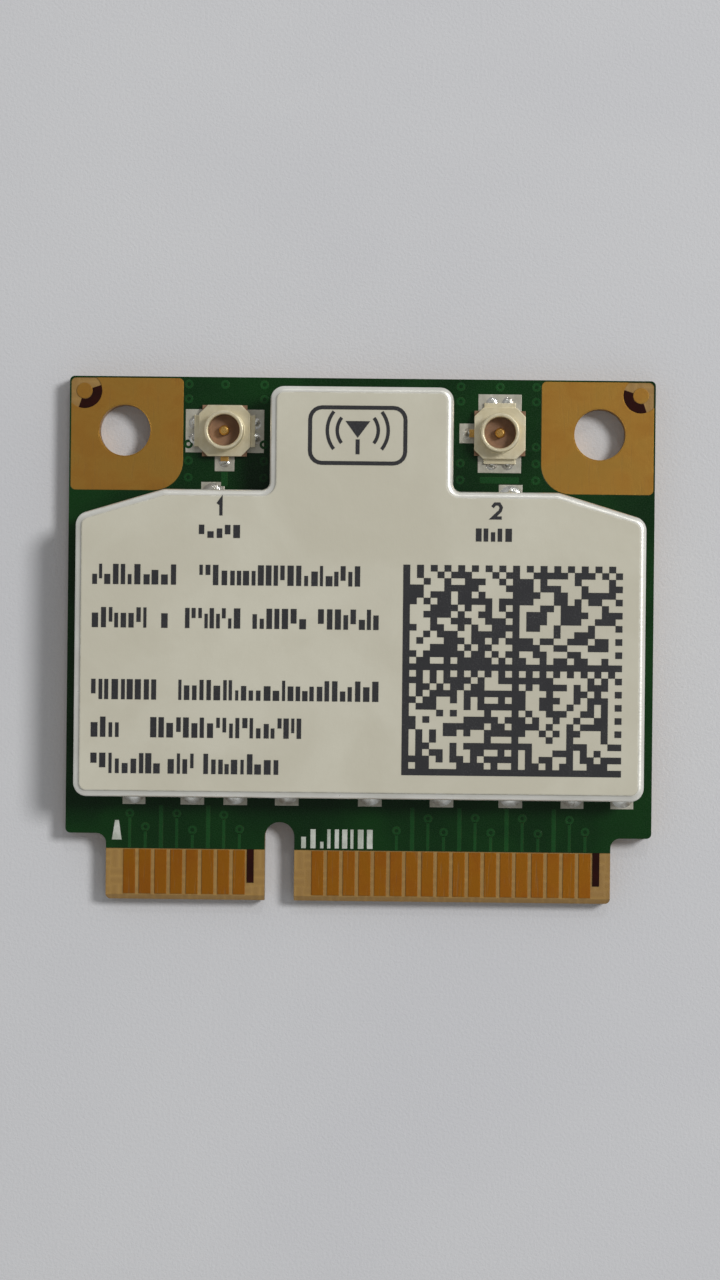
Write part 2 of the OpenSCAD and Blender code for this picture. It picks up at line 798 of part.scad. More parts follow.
module connector_plate() {
    difference() {
        square(plate_w, center = true);
        circle(bore_r);
        for (a = [45 : 90 : 315]) rotate(a)
            translate([(plate_w - plate_chamfer) / sqrt(2), -plate_w])
                square([plate_w, 2 * plate_w]);
    }
}

module connector_shell() {
    color([0.9, 0.86, 0.72]) {
        at_level(plate_z, plate_t) connector_plate();
        rotate_extrude() difference() {
            translate([bore_r, plate_z]) square([ring_t, connector_h - plate_z]);
            translate([ring_r, groove_z]) rotate(45) square(groove_depth * sqrt(2), center = true);
            translate([ring_r, connector_h]) rotate(45) square(lip_chamfer * sqrt(2), center = true);
            translate([bore_r, connector_h]) rotate(45) square(lip_chamfer * sqrt(2), center = true);
        }
        both_sides() {
            translate([leg_x - plate_t, -ground_tab_w / 2, 0]) cube([plate_t, ground_tab_w, ring_z]);
            translate([leg_x - plate_t, -ground_tab_w / 2, 0])
                cube([tabs_w / 2 - leg_x + plate_t, ground_tab_w, plate_t]);
        }
    }
}

module connector_base() {
    color([0.86, 0.82, 0.7]) difference() {
        union() {
            translate([-body_x, -base_y, 0]) cube([2 * body_x, 2 * base_y, base_h]);
            cylinder(r = bore_r - slack, h = boss_h);
        }
        translate([0, 0, -past]) cylinder(d = pin_d + 2 * slack, h = boss_h + 2 * past);
        translate([-tail_w / 2 - slack, -base_y - past, -past])
            cube([tail_w + 2 * slack, base_y + past, tail_t + slack + past]);
    }
}

module connector_pin() {
    color([0.88, 0.74, 0.45]) {
        rotate_extrude() difference() {
            square([pin_d / 2, pin_h]);
            translate([pin_d / 2, pin_h]) rotate(45) square(tip_chamfer * sqrt(2), center = true);
        }
        translate([-tail_w / 2, -tail_l, 0]) cube([tail_w, tail_l, tail_t]);
    }
}

module main_connector_shell() {
    main_place() connector_shell();
}

module main_connector_base() {
    main_place() connector_base();
}

module main_connector_pin() {
    main_place() connector_pin();
}

module aux_connector_shell() {
    aux_place() connector_shell();
}

module aux_connector_base() {
    aux_place() connector_base();
}

module aux_connector_pin() {
    aux_place() connector_pin();
}

module connector_pads() {
    both_sides() translate([ground_pad_x - ground_pad.x / 2, -ground_pad.y / 2]) square(ground_pad);
    translate([-signal_pad.x / 2, -signal_pad_y - signal_pad.y / 2]) square(signal_pad);
}

// Both connectors' lands in plan
module connector_land_area() {
    translate([-connector_x, hole_y]) connector_pads();
    translate([connector_x, hole_y]) rotate(-90) connector_pads();
}

module connector_lands() {
    color([0.84, 0.62, 0.28]) at_level(deck_z, film_t) connector_land_area();
}

// Solder at the ends of the ground tabs and the tail
module connector_joints() {
    both_sides() for (y = [-1, 1] * ground_tab_w / 4) translate([tabs_w / 2, y, -land_z])
        fillet(joint_reach, plate_t);
    translate([0, -tail_l, -land_z]) rotate(-90) fillet(joint_reach, tail_t);
}

module connector_solder() {
    color([0.8, 0.8, 0.8]) {
        main_place() connector_joints();
        aux_place() connector_joints();
    }
}

// Parts under the shield, each standing on the lands

module pads(places, pad, spread) {
    for (p = places) translate([p.x, p.y]) rotate(p[2])
        for (s = [-1, 1]) translate([s * spread - pad.x / 2, -pad.y / 2]) square(pad);
}

// Square lands along four sides and one large land in the middle
module leadless_footprint(size, count) {
    square(size - [2, 2] * leadless_rim, center = true);
    for (k = [0 : count - 1], s = [-1, 1]) {
        along_side = (k - (count - 1) / 2) * leadless_pitch;
        translate([along_side, s * (size.y / 2 - leadless_pad.y / 2)]) square(leadless_pad, center = true);
        translate([s * (size.x / 2 - leadless_pad.y / 2), along_side]) rotate(90)
            square(leadless_pad, center = true);
    }
}

leadless_places = [
    [module_a_x, module_y, [module_a_w, module_a_w], 5],
    [module_b_x, module_y, [module_b_w, module_b_w], 3],
    [regulator_x, regulator_y, [regulator_w, regulator_w], 3],
    [crystal_x, flash_y, flash_size, 2]];

module leadless_areas() {
    for (p = leadless_places) translate([p.x, p.y]) leadless_footprint(p[2], p[3]);
}

module leadless_body(k, height) {
    p = leadless_places[k];
    color([0.14, 0.14, 0.15]) translate([p.x, p.y, land_z + pad_t]) difference() {
        block(p[2], height);
        translate([-p[2].x / 2 + dot_inset, p[2].y / 2 - dot_inset, height])
            cylinder(d = dot_d, h = 2 * dot_depth, center = true);
    }
}

module front_end_module_a() {
    leadless_body(0, leadless_h);
}

module front_end_module_b() {
    leadless_body(1, leadless_h);
}

module power_regulator() {
    leadless_body(2, leadless_h);
}

module flash_memory() {
    leadless_body(3, leadless_h);
}

module leadless_pads() {
    color([0.8, 0.78, 0.72]) at_level(land_z, pad_t) leadless_areas();
}

module ball_grid() {
    for (i = [0 : balls - 1], j = [0 : balls - 1])
        translate([chip_x + (i - (balls - 1) / 2) * ball_pitch, chip_y + (j - (balls - 1) / 2) * ball_pitch])
            children();
}

module radio_chip_balls() {
    color([0.78, 0.78, 0.8]) at_level(land_z, ball_h) ball_grid() circle(d = ball_d);
}

module radio_chip_substrate() {
    color([0.2, 0.34, 0.2]) translate([chip_x, chip_y, land_z + ball_h])
        block([chip_w, chip_w], substrate_h);
}

module radio_chip() {
    cap_w = chip_w - 2 * cap_step;
    color([0.13, 0.13, 0.14]) translate([chip_x, chip_y, land_z + ball_h + substrate_h]) difference() {
        block([cap_w, cap_w], chip_h - substrate_h);
        translate([-cap_w / 2 + 2 * dot_inset, cap_w / 2 - 2 * dot_inset, chip_h - substrate_h])
            cylinder(d = 2 * dot_d, h = 2 * dot_depth, center = true);
    }
}

module crystal_base() {
    color([0.3, 0.26, 0.24]) translate([crystal_x, crystal_y, land_z]) difference() {
        block([crystal_w, crystal_l], crystal_base_h);
        for (x = [-1, 1] * crystal_w / 2, y = [-1, 1] * crystal_l / 2)
            translate([x, y, -past]) cylinder(r = castellation_r, h = crystal_base_h + 2 * past);
    }
}

module crystal_cap() {
    color([0.82, 0.8, 0.72]) translate([crystal_x, crystal_y, land_z + crystal_base_h])
        block([crystal_w - 2 * crystal_rim, crystal_l - 2 * crystal_rim], crystal_h - crystal_base_h);
}

crystal_places = [for (s = [-1, 1]) [crystal_x + s * crystal_w / 4, crystal_y, 90]];

// A block body between two end caps, with its length along x
module end_capped(places, length, width, height, cap, ends) {
    for (p = places) translate([p.x, p.y, land_z]) rotate(p[2])
        if (ends) for (s = [-1, 1]) translate([s * (length - cap) / 2, 0, 0]) block([cap, width], height);
        else block([length - 2 * cap, width], height);
}

coil_places = [[coil_a_x, coil_y, 0], [coil_b_x, coil_y, 0]];
filter_places = concat([[module_a_x, filter_a_y, 0], [module_b_x, filter_b_y, 0]],
    [for (s = [-1, 1]) [s * neck_filter_x, neck_filter_y, 90]]);
capacitor_places = concat(
    [for (k = [-3 : 3]) [chip_x + k * small_pitch, chip_y - beside_chip, 90]],
    [for (k = [0 : 5]) [row_x + k * small_pitch, above_coils_y, 90]],
    [for (k = [0 : 8]) [row_x + k * small_pitch, row_b_y, 90]]);
resistor_places = concat(
    [for (k = [-4 : 5]) [chip_x + beside_chip, chip_y + (k - 0.5) * small_pitch, 0]],
    [for (k = [-3 : 3]) [chip_x + k * small_pitch, chip_y + beside_chip, 90]]);
rf_inductor_places = concat(
    [for (k = [0 : 8]) [row_x + k * small_pitch, row_a_y, 90]],
    [for (k = [-1 : 1], x = [between_modules_x, beyond_modules_x]) [x, module_y + k * small_pitch, 0]],
    [for (s = [-1, 1], k = [0, 1]) [s * (neck_row_x + k * small_pitch), neck_row_y, 90]]);

module power_inductors() {
    color([0.25, 0.25, 0.27]) end_capped(coil_places, coil_l, coil_w, coil_h, coil_cap, false);
}

module power_inductor_ends() {
    color([0.8, 0.8, 0.8]) end_capped(coil_places, coil_l, coil_w, coil_cap_h, coil_cap, true);
}

module band_filters() {
    color([0.85, 0.83, 0.78]) end_capped(filter_places, filter_l, filter_w, filter_h, small_cap, false);
}

module band_filter_ends() {
    color([0.8, 0.8, 0.8]) end_capped(filter_places, filter_l, filter_w, filter_h, small_cap, true);
}

module capacitors() {
    color([0.62, 0.48, 0.36]) end_capped(capacitor_places, small_l, small_w, capacitor_h, small_cap, false);
}

module capacitor_ends() {
    color([0.8, 0.8, 0.8]) end_capped(capacitor_places, small_l, small_w, capacitor_h, small_cap, true);
}

module resistors() {
    color([0.12, 0.12, 0.13]) end_capped(resistor_places, small_l, small_w, resistor_h, small_cap, false);
}

module resistor_ends() {
    color([0.8, 0.8, 0.8]) end_capped(resistor_places, small_l, small_w, resistor_h, small_cap, true);
}

module rf_inductors() {
    color([0.78, 0.82, 0.88])
        end_capped(rf_inductor_places, small_l, small_w, capacitor_h, small_cap, false);
}

module rf_inductor_ends() {
    color([0.8, 0.8, 0.8]) end_capped(rf_inductor_places, small_l, small_w, capacitor_h, small_cap, true);
}

// The lands under those parts
module component_land_area() {
    small_places = concat(capacitor_places, resistor_places, rf_inductor_places);
    pads(small_places, [small_cap + pad_out, small_w], (small_l - small_cap + pad_out) / 2);
    pads(filter_places, [small_cap + pad_out, filter_w], (filter_l - small_cap + pad_out) / 2);
    pads(coil_places, [coil_cap + pad_out, coil_w], (coil_l - coil_cap + pad_out) / 2);
    pads(crystal_places, [small_l, small_w * 2], crystal_l / 2 - small_l / 2);
    ball_grid() circle(d = ball_d);
    leadless_areas();
}

module component_lands() {
    color([0.84, 0.62, 0.28]) at_level(deck_z, film_t) component_land_area();
}

// Green mask, open round every land

module mask_outline() {
    intersection() {
        board_outline();
        union() {
            above_contacts();
            for (x = [contact_places(0)[contacts_left - 1], last_of(contact_places(0))])
                translate([x + contact_w / 2 + strip_gap, mask_y - strip_l]) square([strip_w, 2 * strip_l]);
        }
    }
}

module above_contacts() {
    translate([-side_x - past, mask_y]) square([board_w + 2 * past, back_y - mask_y + past]);
}

function last_of(list) = list[len(list) - 1];

module solder_mask_top() {
    color([0.1, 0.3, 0.14]) at_level(deck_z, film_t) difference() {
        mask_outline();
        both_sides() corner_square();
        shield_land_area();
        connector_land_area();
        component_land_area();
    }
}

module test_land_area() {
    for (i = [0 : test_columns - 1], j = [0 : test_rows - 1])
        translate([test_x + i * test_pitch, test_y + j * test_pitch]) circle(d = test_d);
}

module test_lands() {
    color([0.84, 0.62, 0.28]) at_level(0, film_t) test_land_area();
}

module solder_mask_bottom() {
    color([0.1, 0.3, 0.14]) at_level(0, film_t) difference() {
        intersection() {
            board_outline();
            above_contacts();
        }
        both_sides() corner_square();
        test_land_area();
    }
}

circuit_board();
solder_mask_top();
solder_mask_bottom();
edge_contacts_top();
edge_contacts_bottom();
mounting_lands_top();
mounting_lands_bottom();
bore_plating();
alignment_marks();
shield_land();
connector_lands();
component_lands();
test_lands();
shield_fence();
shield_lid();
shield_solder();
product_label();
label_print();
main_connector_shell();
main_connector_base();
main_connector_pin();
aux_connector_shell();
aux_connector_base();
aux_connector_pin();
connector_solder();
radio_chip();
radio_chip_substrate();
radio_chip_balls();
crystal_base();
crystal_cap();
flash_memory();
front_end_module_a();
front_end_module_b();
power_regulator();
leadless_pads();
power_inductors();
power_inductor_ends();
band_filters();
band_filter_ends();
capacitors();
capacitor_ends();
resistors();
resistor_ends();
rf_inductors();
rf_inductor_ends();
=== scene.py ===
import math
import random

import bmesh
import bpy
from mathutils import Matrix, Vector
from mathutils.kdtree import KDTree


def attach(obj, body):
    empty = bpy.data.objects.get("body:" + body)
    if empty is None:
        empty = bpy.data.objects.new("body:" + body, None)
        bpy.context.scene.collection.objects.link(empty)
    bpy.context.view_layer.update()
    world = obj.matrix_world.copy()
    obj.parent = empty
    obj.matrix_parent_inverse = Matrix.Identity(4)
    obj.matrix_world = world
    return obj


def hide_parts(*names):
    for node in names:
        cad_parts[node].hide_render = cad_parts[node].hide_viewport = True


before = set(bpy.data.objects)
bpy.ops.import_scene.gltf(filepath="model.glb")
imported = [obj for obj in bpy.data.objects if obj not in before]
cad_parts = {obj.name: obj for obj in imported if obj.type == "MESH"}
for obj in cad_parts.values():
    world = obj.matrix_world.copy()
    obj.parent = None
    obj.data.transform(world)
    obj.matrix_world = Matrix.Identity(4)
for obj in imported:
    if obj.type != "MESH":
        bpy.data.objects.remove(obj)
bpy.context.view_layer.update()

mm = 0.001
print("frame loaded:", len(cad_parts), "solids")


# Colours are written as screen values from 0 to 255

def screenColor(red, green, blue):
    def linear(value):
        share = value / 255
        return share / 12.92 if share <= 0.04045 else ((share + 0.055) / 1.055) ** 2.4
    return (linear(red), linear(green), linear(blue), 1.0)


# Short ways to wire shader nodes

def plug(tree, socket, value):
    if isinstance(value, bpy.types.NodeSocket):
        tree.links.new(value, socket)
    else:
        socket.default_value = value


def addNode(tree, kind, inputs=None, **settings):
    made = tree.nodes.new("ShaderNode" + kind)
    for name, value in settings.items():
        setattr(made, name, value)
    for key, value in (inputs or {}).items():
        plug(tree, made.inputs[key], value)
    return made


def maths(tree, operation, first, second=0.5, third=None, clamp=False):
    inputs = {0: first, 1: second}
    if third is not None:
        inputs[2] = third
    return addNode(tree, "Math", inputs, operation=operation, use_clamp=clamp).outputs[0]


def vectorMaths(tree, operation, first, second=None, scale=None):
    inputs = {0: first}
    if second is not None:
        inputs[1] = second
    if scale is not None:
        inputs["Scale"] = scale
    made = addNode(tree, "VectorMath", inputs, operation=operation)
    return made.outputs["Value"] if operation in ("DOT_PRODUCT", "LENGTH") else made.outputs[0]


def blendColor(tree, share, first, second, mode="MIX"):
    made = addNode(tree, "Mix", {0: share, 6: first, 7: second}, data_type="RGBA", blend_type=mode)
    return made.outputs[2]


def remap(tree, value, low, high, toLow=0.0, toHigh=1.0, smooth=False):
    kind = "SMOOTHSTEP" if smooth else "LINEAR"
    made = addNode(tree, "MapRange", {0: value, 1: low, 2: high, 3: toLow, 4: toHigh}, interpolation_type=kind)
    return made.outputs[0]


def splitPlace(tree, place):
    return addNode(tree, "SeparateXYZ", {0: place}).outputs


# Shader groups that several finishes share. Sizes in them are in millimetres.

def startGroup(name, inputs, outputs):
    group = bpy.data.node_groups.new(name, "ShaderNodeTree")
    for label, kind, value in inputs:
        socket = group.interface.new_socket(name=label, in_out="INPUT", socket_type="NodeSocket" + kind)
        socket.default_value = value
    for label, kind in outputs:
        group.interface.new_socket(name=label, in_out="OUTPUT", socket_type="NodeSocket" + kind)
    return group, group.nodes.new("NodeGroupInput").outputs, group.nodes.new("NodeGroupOutput").inputs


def buildPlaceGroup():
    group, _, ends = startGroup("placeInMillimetres", [], [("Place", "Vector")])
    spot = addNode(group, "TexCoord").outputs["Object"]
    plug(group, ends["Place"], vectorMaths(group, "SCALE", spot, scale=1 / mm))
    return group


def buildGrainGroup():
    # small noise, drawn out along any axis by Stretch
    group, starts, ends = startGroup(
        "fineGrain",
        [("Place", "Vector", (0, 0, 0)), ("Size", "Float", 0.1), ("Stretch", "Vector", (1, 1, 1)),
         ("Low", "Float", 0.0), ("High", "Float", 1.0)],
        [("Value", "Float")])
    place = vectorMaths(group, "MULTIPLY", starts["Place"], starts["Stretch"])
    scale = maths(group, "DIVIDE", 1.0, starts["Size"])
    noise = addNode(group, "TexNoise", {"Vector": place, "Scale": scale, "Detail": 3.0, "Roughness": 0.6})
    plug(group, ends["Value"], remap(group, noise.outputs[0], 0.3, 0.7, starts["Low"], starts["High"]))
    return group


def buildMottleGroup():
    # soft cloudy change over several millimetres
    group, starts, ends = startGroup(
        "softMottle",
        [("Place", "Vector", (0, 0, 0)), ("Size", "Float", 4.0), ("Low", "Float", 0.0), ("High", "Float", 1.0)],
        [("Value", "Float")])
    scale = maths(group, "DIVIDE", 1.0, starts["Size"])
    noise = addNode(group, "TexNoise", {"Vector": starts["Place"], "Scale": scale, "Detail": 5.0,
                                        "Roughness": 0.55, "Distortion": 0.4})
    plug(group, ends["Value"],
         remap(group, noise.outputs[0], 0.32, 0.68, starts["Low"], starts["High"], smooth=True))
    return group


def buildEdgeGroup():
    # rounded corners in the shading, and a mask of the edges: most finishes tint it as the edges that rub first, the
    # label as a painted highlight
    group, starts, ends = startGroup(
        "edgeWearAndHighlight",
        [("Place", "Vector", (0, 0, 0)), ("Radius", "Float", 0.05), ("Wear", "Float", 0.5)],
        [("Mask", "Float"), ("Normal", "Vector")])
    radius = maths(group, "MULTIPLY", starts["Radius"], mm)
    bevel = addNode(group, "Bevel", {"Radius": radius}, samples=6).outputs[0]
    plain = addNode(group, "NewGeometry").outputs["Normal"]
    turned = maths(group, "SUBTRACT", 1.0, vectorMaths(group, "DOT_PRODUCT", bevel, plain))
    edge = remap(group, turned, 0.02, 0.16, smooth=True)
    noise = addNode(group, "TexNoise", {"Vector": starts["Place"], "Scale": 2.2, "Detail": 6.0,
                                        "Roughness": 0.7}).outputs[0]
    patchy = remap(group, noise, 0.42, 0.62, smooth=True)
    plug(group, ends["Mask"], maths(group, "MULTIPLY", maths(group, "MULTIPLY", edge, patchy), starts["Wear"]))
    plug(group, ends["Normal"], bevel)
    return group


def buildScratchGroup():
    # hairline marks along Y that come and go, as sliding into a socket leaves
    group, starts, ends = startGroup(
        "hairScratches",
        [("Place", "Vector", (0, 0, 0)), ("Spacing", "Float", 0.08), ("Length", "Float", 3.0),
         ("Amount", "Float", 0.5)],
        [("Mask", "Float")])
    across = maths(group, "DIVIDE", 1.0, starts["Spacing"])
    onward = maths(group, "DIVIDE", 1.0, starts["Length"])
    stretch = addNode(group, "CombineXYZ", {0: across, 1: onward, 2: onward}).outputs[0]
    place = vectorMaths(group, "MULTIPLY", starts["Place"], stretch)
    lines = addNode(group, "TexNoise", {"Vector": place, "Scale": 1.0, "Detail": 2.0}).outputs[0]
    thin = remap(group, lines, 0.6, 0.68)
    plug(group, ends["Mask"], maths(group, "MULTIPLY", thin, starts["Amount"]))
    return group


def buildDustGroup():
    # a few pale specks on faces that look up
    group, starts, ends = startGroup(
        "dustSpecks",
        [("Place", "Vector", (0, 0, 0)), ("Spacing", "Float", 1.2), ("Size", "Float", 0.05),
         ("Amount", "Float", 0.5)],
        [("Mask", "Float")])
    scale = maths(group, "DIVIDE", 1.0, starts["Spacing"])
    cells = addNode(group, "TexVoronoi", {"Vector": starts["Place"], "Scale": scale})
    reach = maths(group, "MULTIPLY", starts["Size"], scale)
    speck = maths(group, "LESS_THAN", cells.outputs["Distance"], reach)
    pick = maths(group, "GREATER_THAN", splitPlace(group, cells.outputs["Color"])[0], 0.55)
    facing = splitPlace(group, addNode(group, "NewGeometry").outputs["Normal"])[2]
    upward = remap(group, facing, 0.6, 0.9)
    mask = maths(group, "MULTIPLY", maths(group, "MULTIPLY", speck, pick), upward)
    plug(group, ends["Mask"], maths(group, "MULTIPLY", mask, starts["Amount"]))
    return group


def buildWeaveGroup():
    # over-and-under glass cloth as seen through resin
    group, starts, ends = startGroup(
        "glassWeave",
        [("Place", "Vector", (0, 0, 0)), ("Pitch", "Float", 0.45)],
        [("Height", "Float")])
    scale = maths(group, "DIVIDE", math.pi, starts["Pitch"])
    spot = splitPlace(group, vectorMaths(group, "SCALE", starts["Place"], scale=scale))
    warp = maths(group, "ABSOLUTE", maths(group, "SINE", spot[0]))
    weft = maths(group, "ABSOLUTE", maths(group, "SINE", spot[1]))
    over = maths(group, "MULTIPLY", maths(group, "SINE", maths(group, "MULTIPLY", spot[0], 0.5)),
                 maths(group, "SINE", maths(group, "MULTIPLY", spot[1], 0.5)))
    pick = remap(group, over, -0.2, 0.2, smooth=True)
    mixed = addNode(group, "Mix", {0: pick, 2: warp, 3: weft}, data_type="FLOAT").outputs[0]
    plug(group, ends["Height"], mixed)
    return group


placeGroup = buildPlaceGroup()
grainGroup = buildGrainGroup()
mottleGroup = buildMottleGroup()
edgeGroup = buildEdgeGroup()
scratchGroup = buildScratchGroup()
dustGroup = buildDustGroup()
weaveGroup = buildWeaveGroup()
print("shader groups built")


def useGroup(tree, group, **values):
    made = tree.nodes.new("ShaderNodeGroup")
    made.node_tree = group
    for label, value in values.items():
        plug(tree, made.inputs[label], value)
    return made.outputs


def startFinish(name):
    material = bpy.data.materials.new(name)
    material.use_nodes = True
    tree = material.node_tree
    shader = tree.nodes["Principled BSDF"]
    place = useGroup(tree, placeGroup)["Place"]
    return material, tree, shader, place


def bump(tree, shader, height, distance, normal=None, strength=1.0):
    inputs = {"Height": height, "Distance": distance * mm, "Strength": strength}
    if normal is not None:
        inputs["Normal"] = normal
    plug(tree, shader.inputs["Normal"], addNode(tree, "Bump", inputs).outputs[0])


# Finishes

laminate = {"face": screenColor(160, 124, 62), "dark": screenColor(130, 96, 42),
            "ply": screenColor(92, 76, 44), "plyStep": 0.2, "weave": 0.45}


def laminateFinish():
    material, tree, shader, place = startFinish("glassEpoxy")
    weave = useGroup(tree, weaveGroup, Place=place, Pitch=laminate["weave"])["Height"]
    cloud = useGroup(tree, mottleGroup, Place=place, Size=3.5, Low=0.0, High=1.0)["Value"]
    fine = useGroup(tree, grainGroup, Place=place, Size=0.06, Low=0.0, High=1.0)["Value"]
    face = blendColor(tree, maths(tree, "MULTIPLY", weave, 0.45), laminate["face"], laminate["dark"])
    face = blendColor(tree, maths(tree, "MULTIPLY", cloud, 0.3), face, laminate["dark"])
    # the cut sides show the plies
    height = splitPlace(tree, place)[2]
    step = maths(tree, "FRACT", maths(tree, "DIVIDE", height, laminate["plyStep"]))
    line = remap(tree, maths(tree, "ABSOLUTE", maths(tree, "SUBTRACT", step, 0.5)), 0.36, 0.46)
    facing = maths(tree, "ABSOLUTE", splitPlace(tree, addNode(tree, "NewGeometry").outputs["Normal"])[2])
    side = remap(tree, facing, 0.35, 0.2)
    rough = maths(tree, "ADD", maths(tree, "MULTIPLY", line, 0.7), maths(tree, "MULTIPLY", fine, 0.3))
    plyShare = maths(tree, "MULTIPLY", side, rough)
    plug(tree, shader.inputs["Base Color"], blendColor(tree, plyShare, face, laminate["ply"]))
    plug(tree, shader.inputs["Roughness"], remap(tree, fine, 0, 1, 0.42, 0.62))
    edges = useGroup(tree, edgeGroup, Place=place, Radius=0.04, Wear=0.0)
    relief = maths(tree, "ADD", weave, maths(tree, "MULTIPLY", fine, 0.8))
    bump(tree, shader, relief, 0.006, edges["Normal"])
    return material


greenMask = {"deep": screenColor(4, 38, 9), "light": screenColor(10, 52, 14), "edge": screenColor(104, 102, 58)}


def greenMaskFinish(name, deep, light):
    material, tree, shader, place = startFinish(name)
    cloud = useGroup(tree, mottleGroup, Place=place, Size=5.0, Low=0.0, High=1.0)["Value"]
    fine = useGroup(tree, grainGroup, Place=place, Size=0.05, Low=0.0, High=1.0)["Value"]
    peel = useGroup(tree, grainGroup, Place=place, Size=0.5, Low=0.0, High=1.0)["Value"]
    tint = blendColor(tree, cloud, deep, light)
    tint = blendColor(tree, maths(tree, "MULTIPLY", fine, 0.12), tint, light)
    edges = useGroup(tree, edgeGroup, Place=place, Radius=0.03, Wear=0.5)
    tint = blendColor(tree, edges["Mask"], tint, greenMask["edge"])
    specks = useGroup(tree, dustGroup, Place=place, Spacing=1.7, Size=0.035, Amount=0.45)["Mask"]
    plug(tree, shader.inputs["Base Color"], blendColor(tree, specks, tint, screenColor(190, 188, 180)))
    plug(tree, shader.inputs["Roughness"], remap(tree, fine, 0, 1, 0.2, 0.34))
    shader.inputs["Specular IOR Level"].default_value = 0.25
    relief = maths(tree, "ADD", maths(tree, "MULTIPLY", peel, 1.0), maths(tree, "MULTIPLY", fine, 0.12))
    bump(tree, shader, relief, 0.004, edges["Normal"])
    return material


gold = {"landBright": screenColor(176, 132, 56), "landDull": screenColor(153, 107, 39),
        "contactBright": screenColor(172, 108, 18), "contactDull": screenColor(146, 84, 10),
        "rubbed": screenColor(118, 92, 58)}


def goldFinish(name, bright, dull, scratches, edgeRadius):
    material, tree, shader, place = startFinish(name)
    cloud = useGroup(tree, mottleGroup, Place=place, Size=1.6, Low=0.0, High=1.0)["Value"]
    fine = useGroup(tree, grainGroup, Place=place, Size=0.035, Low=0.0, High=1.0)["Value"]
    marks = useGroup(tree, scratchGroup, Place=place, Spacing=0.09, Length=1.6, Amount=scratches)["Mask"]
    tint = blendColor(tree, maths(tree, "MULTIPLY", cloud, 0.8), bright, dull)
    tint = blendColor(tree, maths(tree, "MULTIPLY", marks, 0.6), tint, gold["rubbed"])
    edges = useGroup(tree, edgeGroup, Place=place, Radius=edgeRadius, Wear=0.4)
    tint = blendColor(tree, edges["Mask"], tint, gold["rubbed"])
    plug(tree, shader.inputs["Base Color"], tint)
    shader.inputs["Metallic"].default_value = 0.8
    roughness = maths(tree, "ADD", remap(tree, cloud, 0, 1, 0.36, 0.5), maths(tree, "MULTIPLY", marks, 0.12))
    plug(tree, shader.inputs["Roughness"], roughness)
    relief = maths(tree, "SUBTRACT", fine, marks)
    bump(tree, shader, relief, 0.0025, edges["Normal"])
    return material


sheetMetal = {"bright": screenColor(244, 242, 234), "dull": screenColor(218, 216, 206),
              "rubbed": screenColor(252, 250, 242)}


def sheetMetalFinish(name, bright, dull, rough, metallic):
    material, tree, shader, place = startFinish(name)
    rolled = useGroup(tree, grainGroup, Place=place, Size=0.12, Stretch=(0.06, 1.0, 0.6), Low=0.0, High=1.0)["Value"]
    cloud = useGroup(tree, mottleGroup, Place=place, Size=3.0, Low=0.0, High=1.0)["Value"]
    edges = useGroup(tree, edgeGroup, Place=place, Radius=0.05, Wear=0.7)
    tint = blendColor(tree, maths(tree, "MULTIPLY", cloud, 0.7), bright, dull)
    tint = blendColor(tree, maths(tree, "MULTIPLY", rolled, 0.25), tint, dull)
    tint = blendColor(tree, edges["Mask"], tint, sheetMetal["rubbed"])
    plug(tree, shader.inputs["Base Color"], tint)
    shader.inputs["Metallic"].default_value = metallic
    span = maths(tree, "ADD", maths(tree, "MULTIPLY", rolled, 0.6), maths(tree, "MULTIPLY", cloud, 0.4))
    plug(tree, shader.inputs["Roughness"], remap(tree, span, 0, 1, rough, rough + 0.16))
    bump(tree, shader, rolled, 0.002, edges["Normal"])
    return material


# The label's edge colour is a painted highlight, standing in for the light caught along its rim.
labelFilm = {"face": screenColor(204, 200, 182), "shade": screenColor(194, 189, 170),
             "edge": screenColor(232, 231, 220), "grime": screenColor(166, 160, 140)}


def labelFilmFinish():
    material, tree, shader, place = startFinish("labelFilm")
    cloud = useGroup(tree, mottleGroup, Place=place, Size=6.0, Low=0.0, High=1.0)["Value"]
    fibre = useGroup(tree, grainGroup, Place=place, Size=0.09, Stretch=(1.0, 0.7, 1.0), Low=0.0, High=1.0)["Value"]
    swell = useGroup(tree, grainGroup, Place=place, Size=2.4, Low=0.0, High=1.0)["Value"]
    tint = blendColor(tree, cloud, labelFilm["face"], labelFilm["shade"])
    tint = blendColor(tree, maths(tree, "MULTIPLY", fibre, 0.22), tint, labelFilm["shade"])
    edges = useGroup(tree, edgeGroup, Place=place, Radius=0.12, Wear=1.0)
    # painted highlight: the label's edges are tinted paler all round
    tint = blendColor(tree, maths(tree, "MULTIPLY", edges["Mask"], 0.8), tint, labelFilm["edge"])
    specks = useGroup(tree, dustGroup, Place=place, Spacing=2.4, Size=0.05, Amount=0.5)["Mask"]
    tint = blendColor(tree, specks, tint, labelFilm["grime"])
    plug(tree, shader.inputs["Base Color"], tint)
    plug(tree, shader.inputs["Roughness"], remap(tree, fibre, 0, 1, 0.4, 0.56))
    relief = maths(tree, "ADD", maths(tree, "MULTIPLY", fibre, 0.12), swell)
    bump(tree, shader, relief, 0.012, edges["Normal"])
    return material


ink = {"black": screenColor(24, 24, 28), "thin": screenColor(76, 76, 76)}


def inkFinish():
    material, tree, shader, place = startFinish("thermalInk")
    speck = useGroup(tree, grainGroup, Place=place, Size=0.07, Low=0.0, High=1.0)["Value"]
    worn = useGroup(tree, mottleGroup, Place=place, Size=1.4, Low=0.0, High=1.0)["Value"]
    share = maths(tree, "MULTIPLY", remap(tree, speck, 0.55, 1.0), maths(tree, "MULTIPLY", worn, 0.7))
    plug(tree, shader.inputs["Base Color"], blendColor(tree, share, ink["black"], ink["thin"]))
    plug(tree, shader.inputs["Roughness"], remap(tree, speck, 0, 1, 0.5, 0.7))
    bump(tree, shader, speck, 0.004)
    return material


solder = {"bright": screenColor(242, 242, 236), "dull": screenColor(178, 178, 172), "footBrown": screenColor(120, 96, 52)}


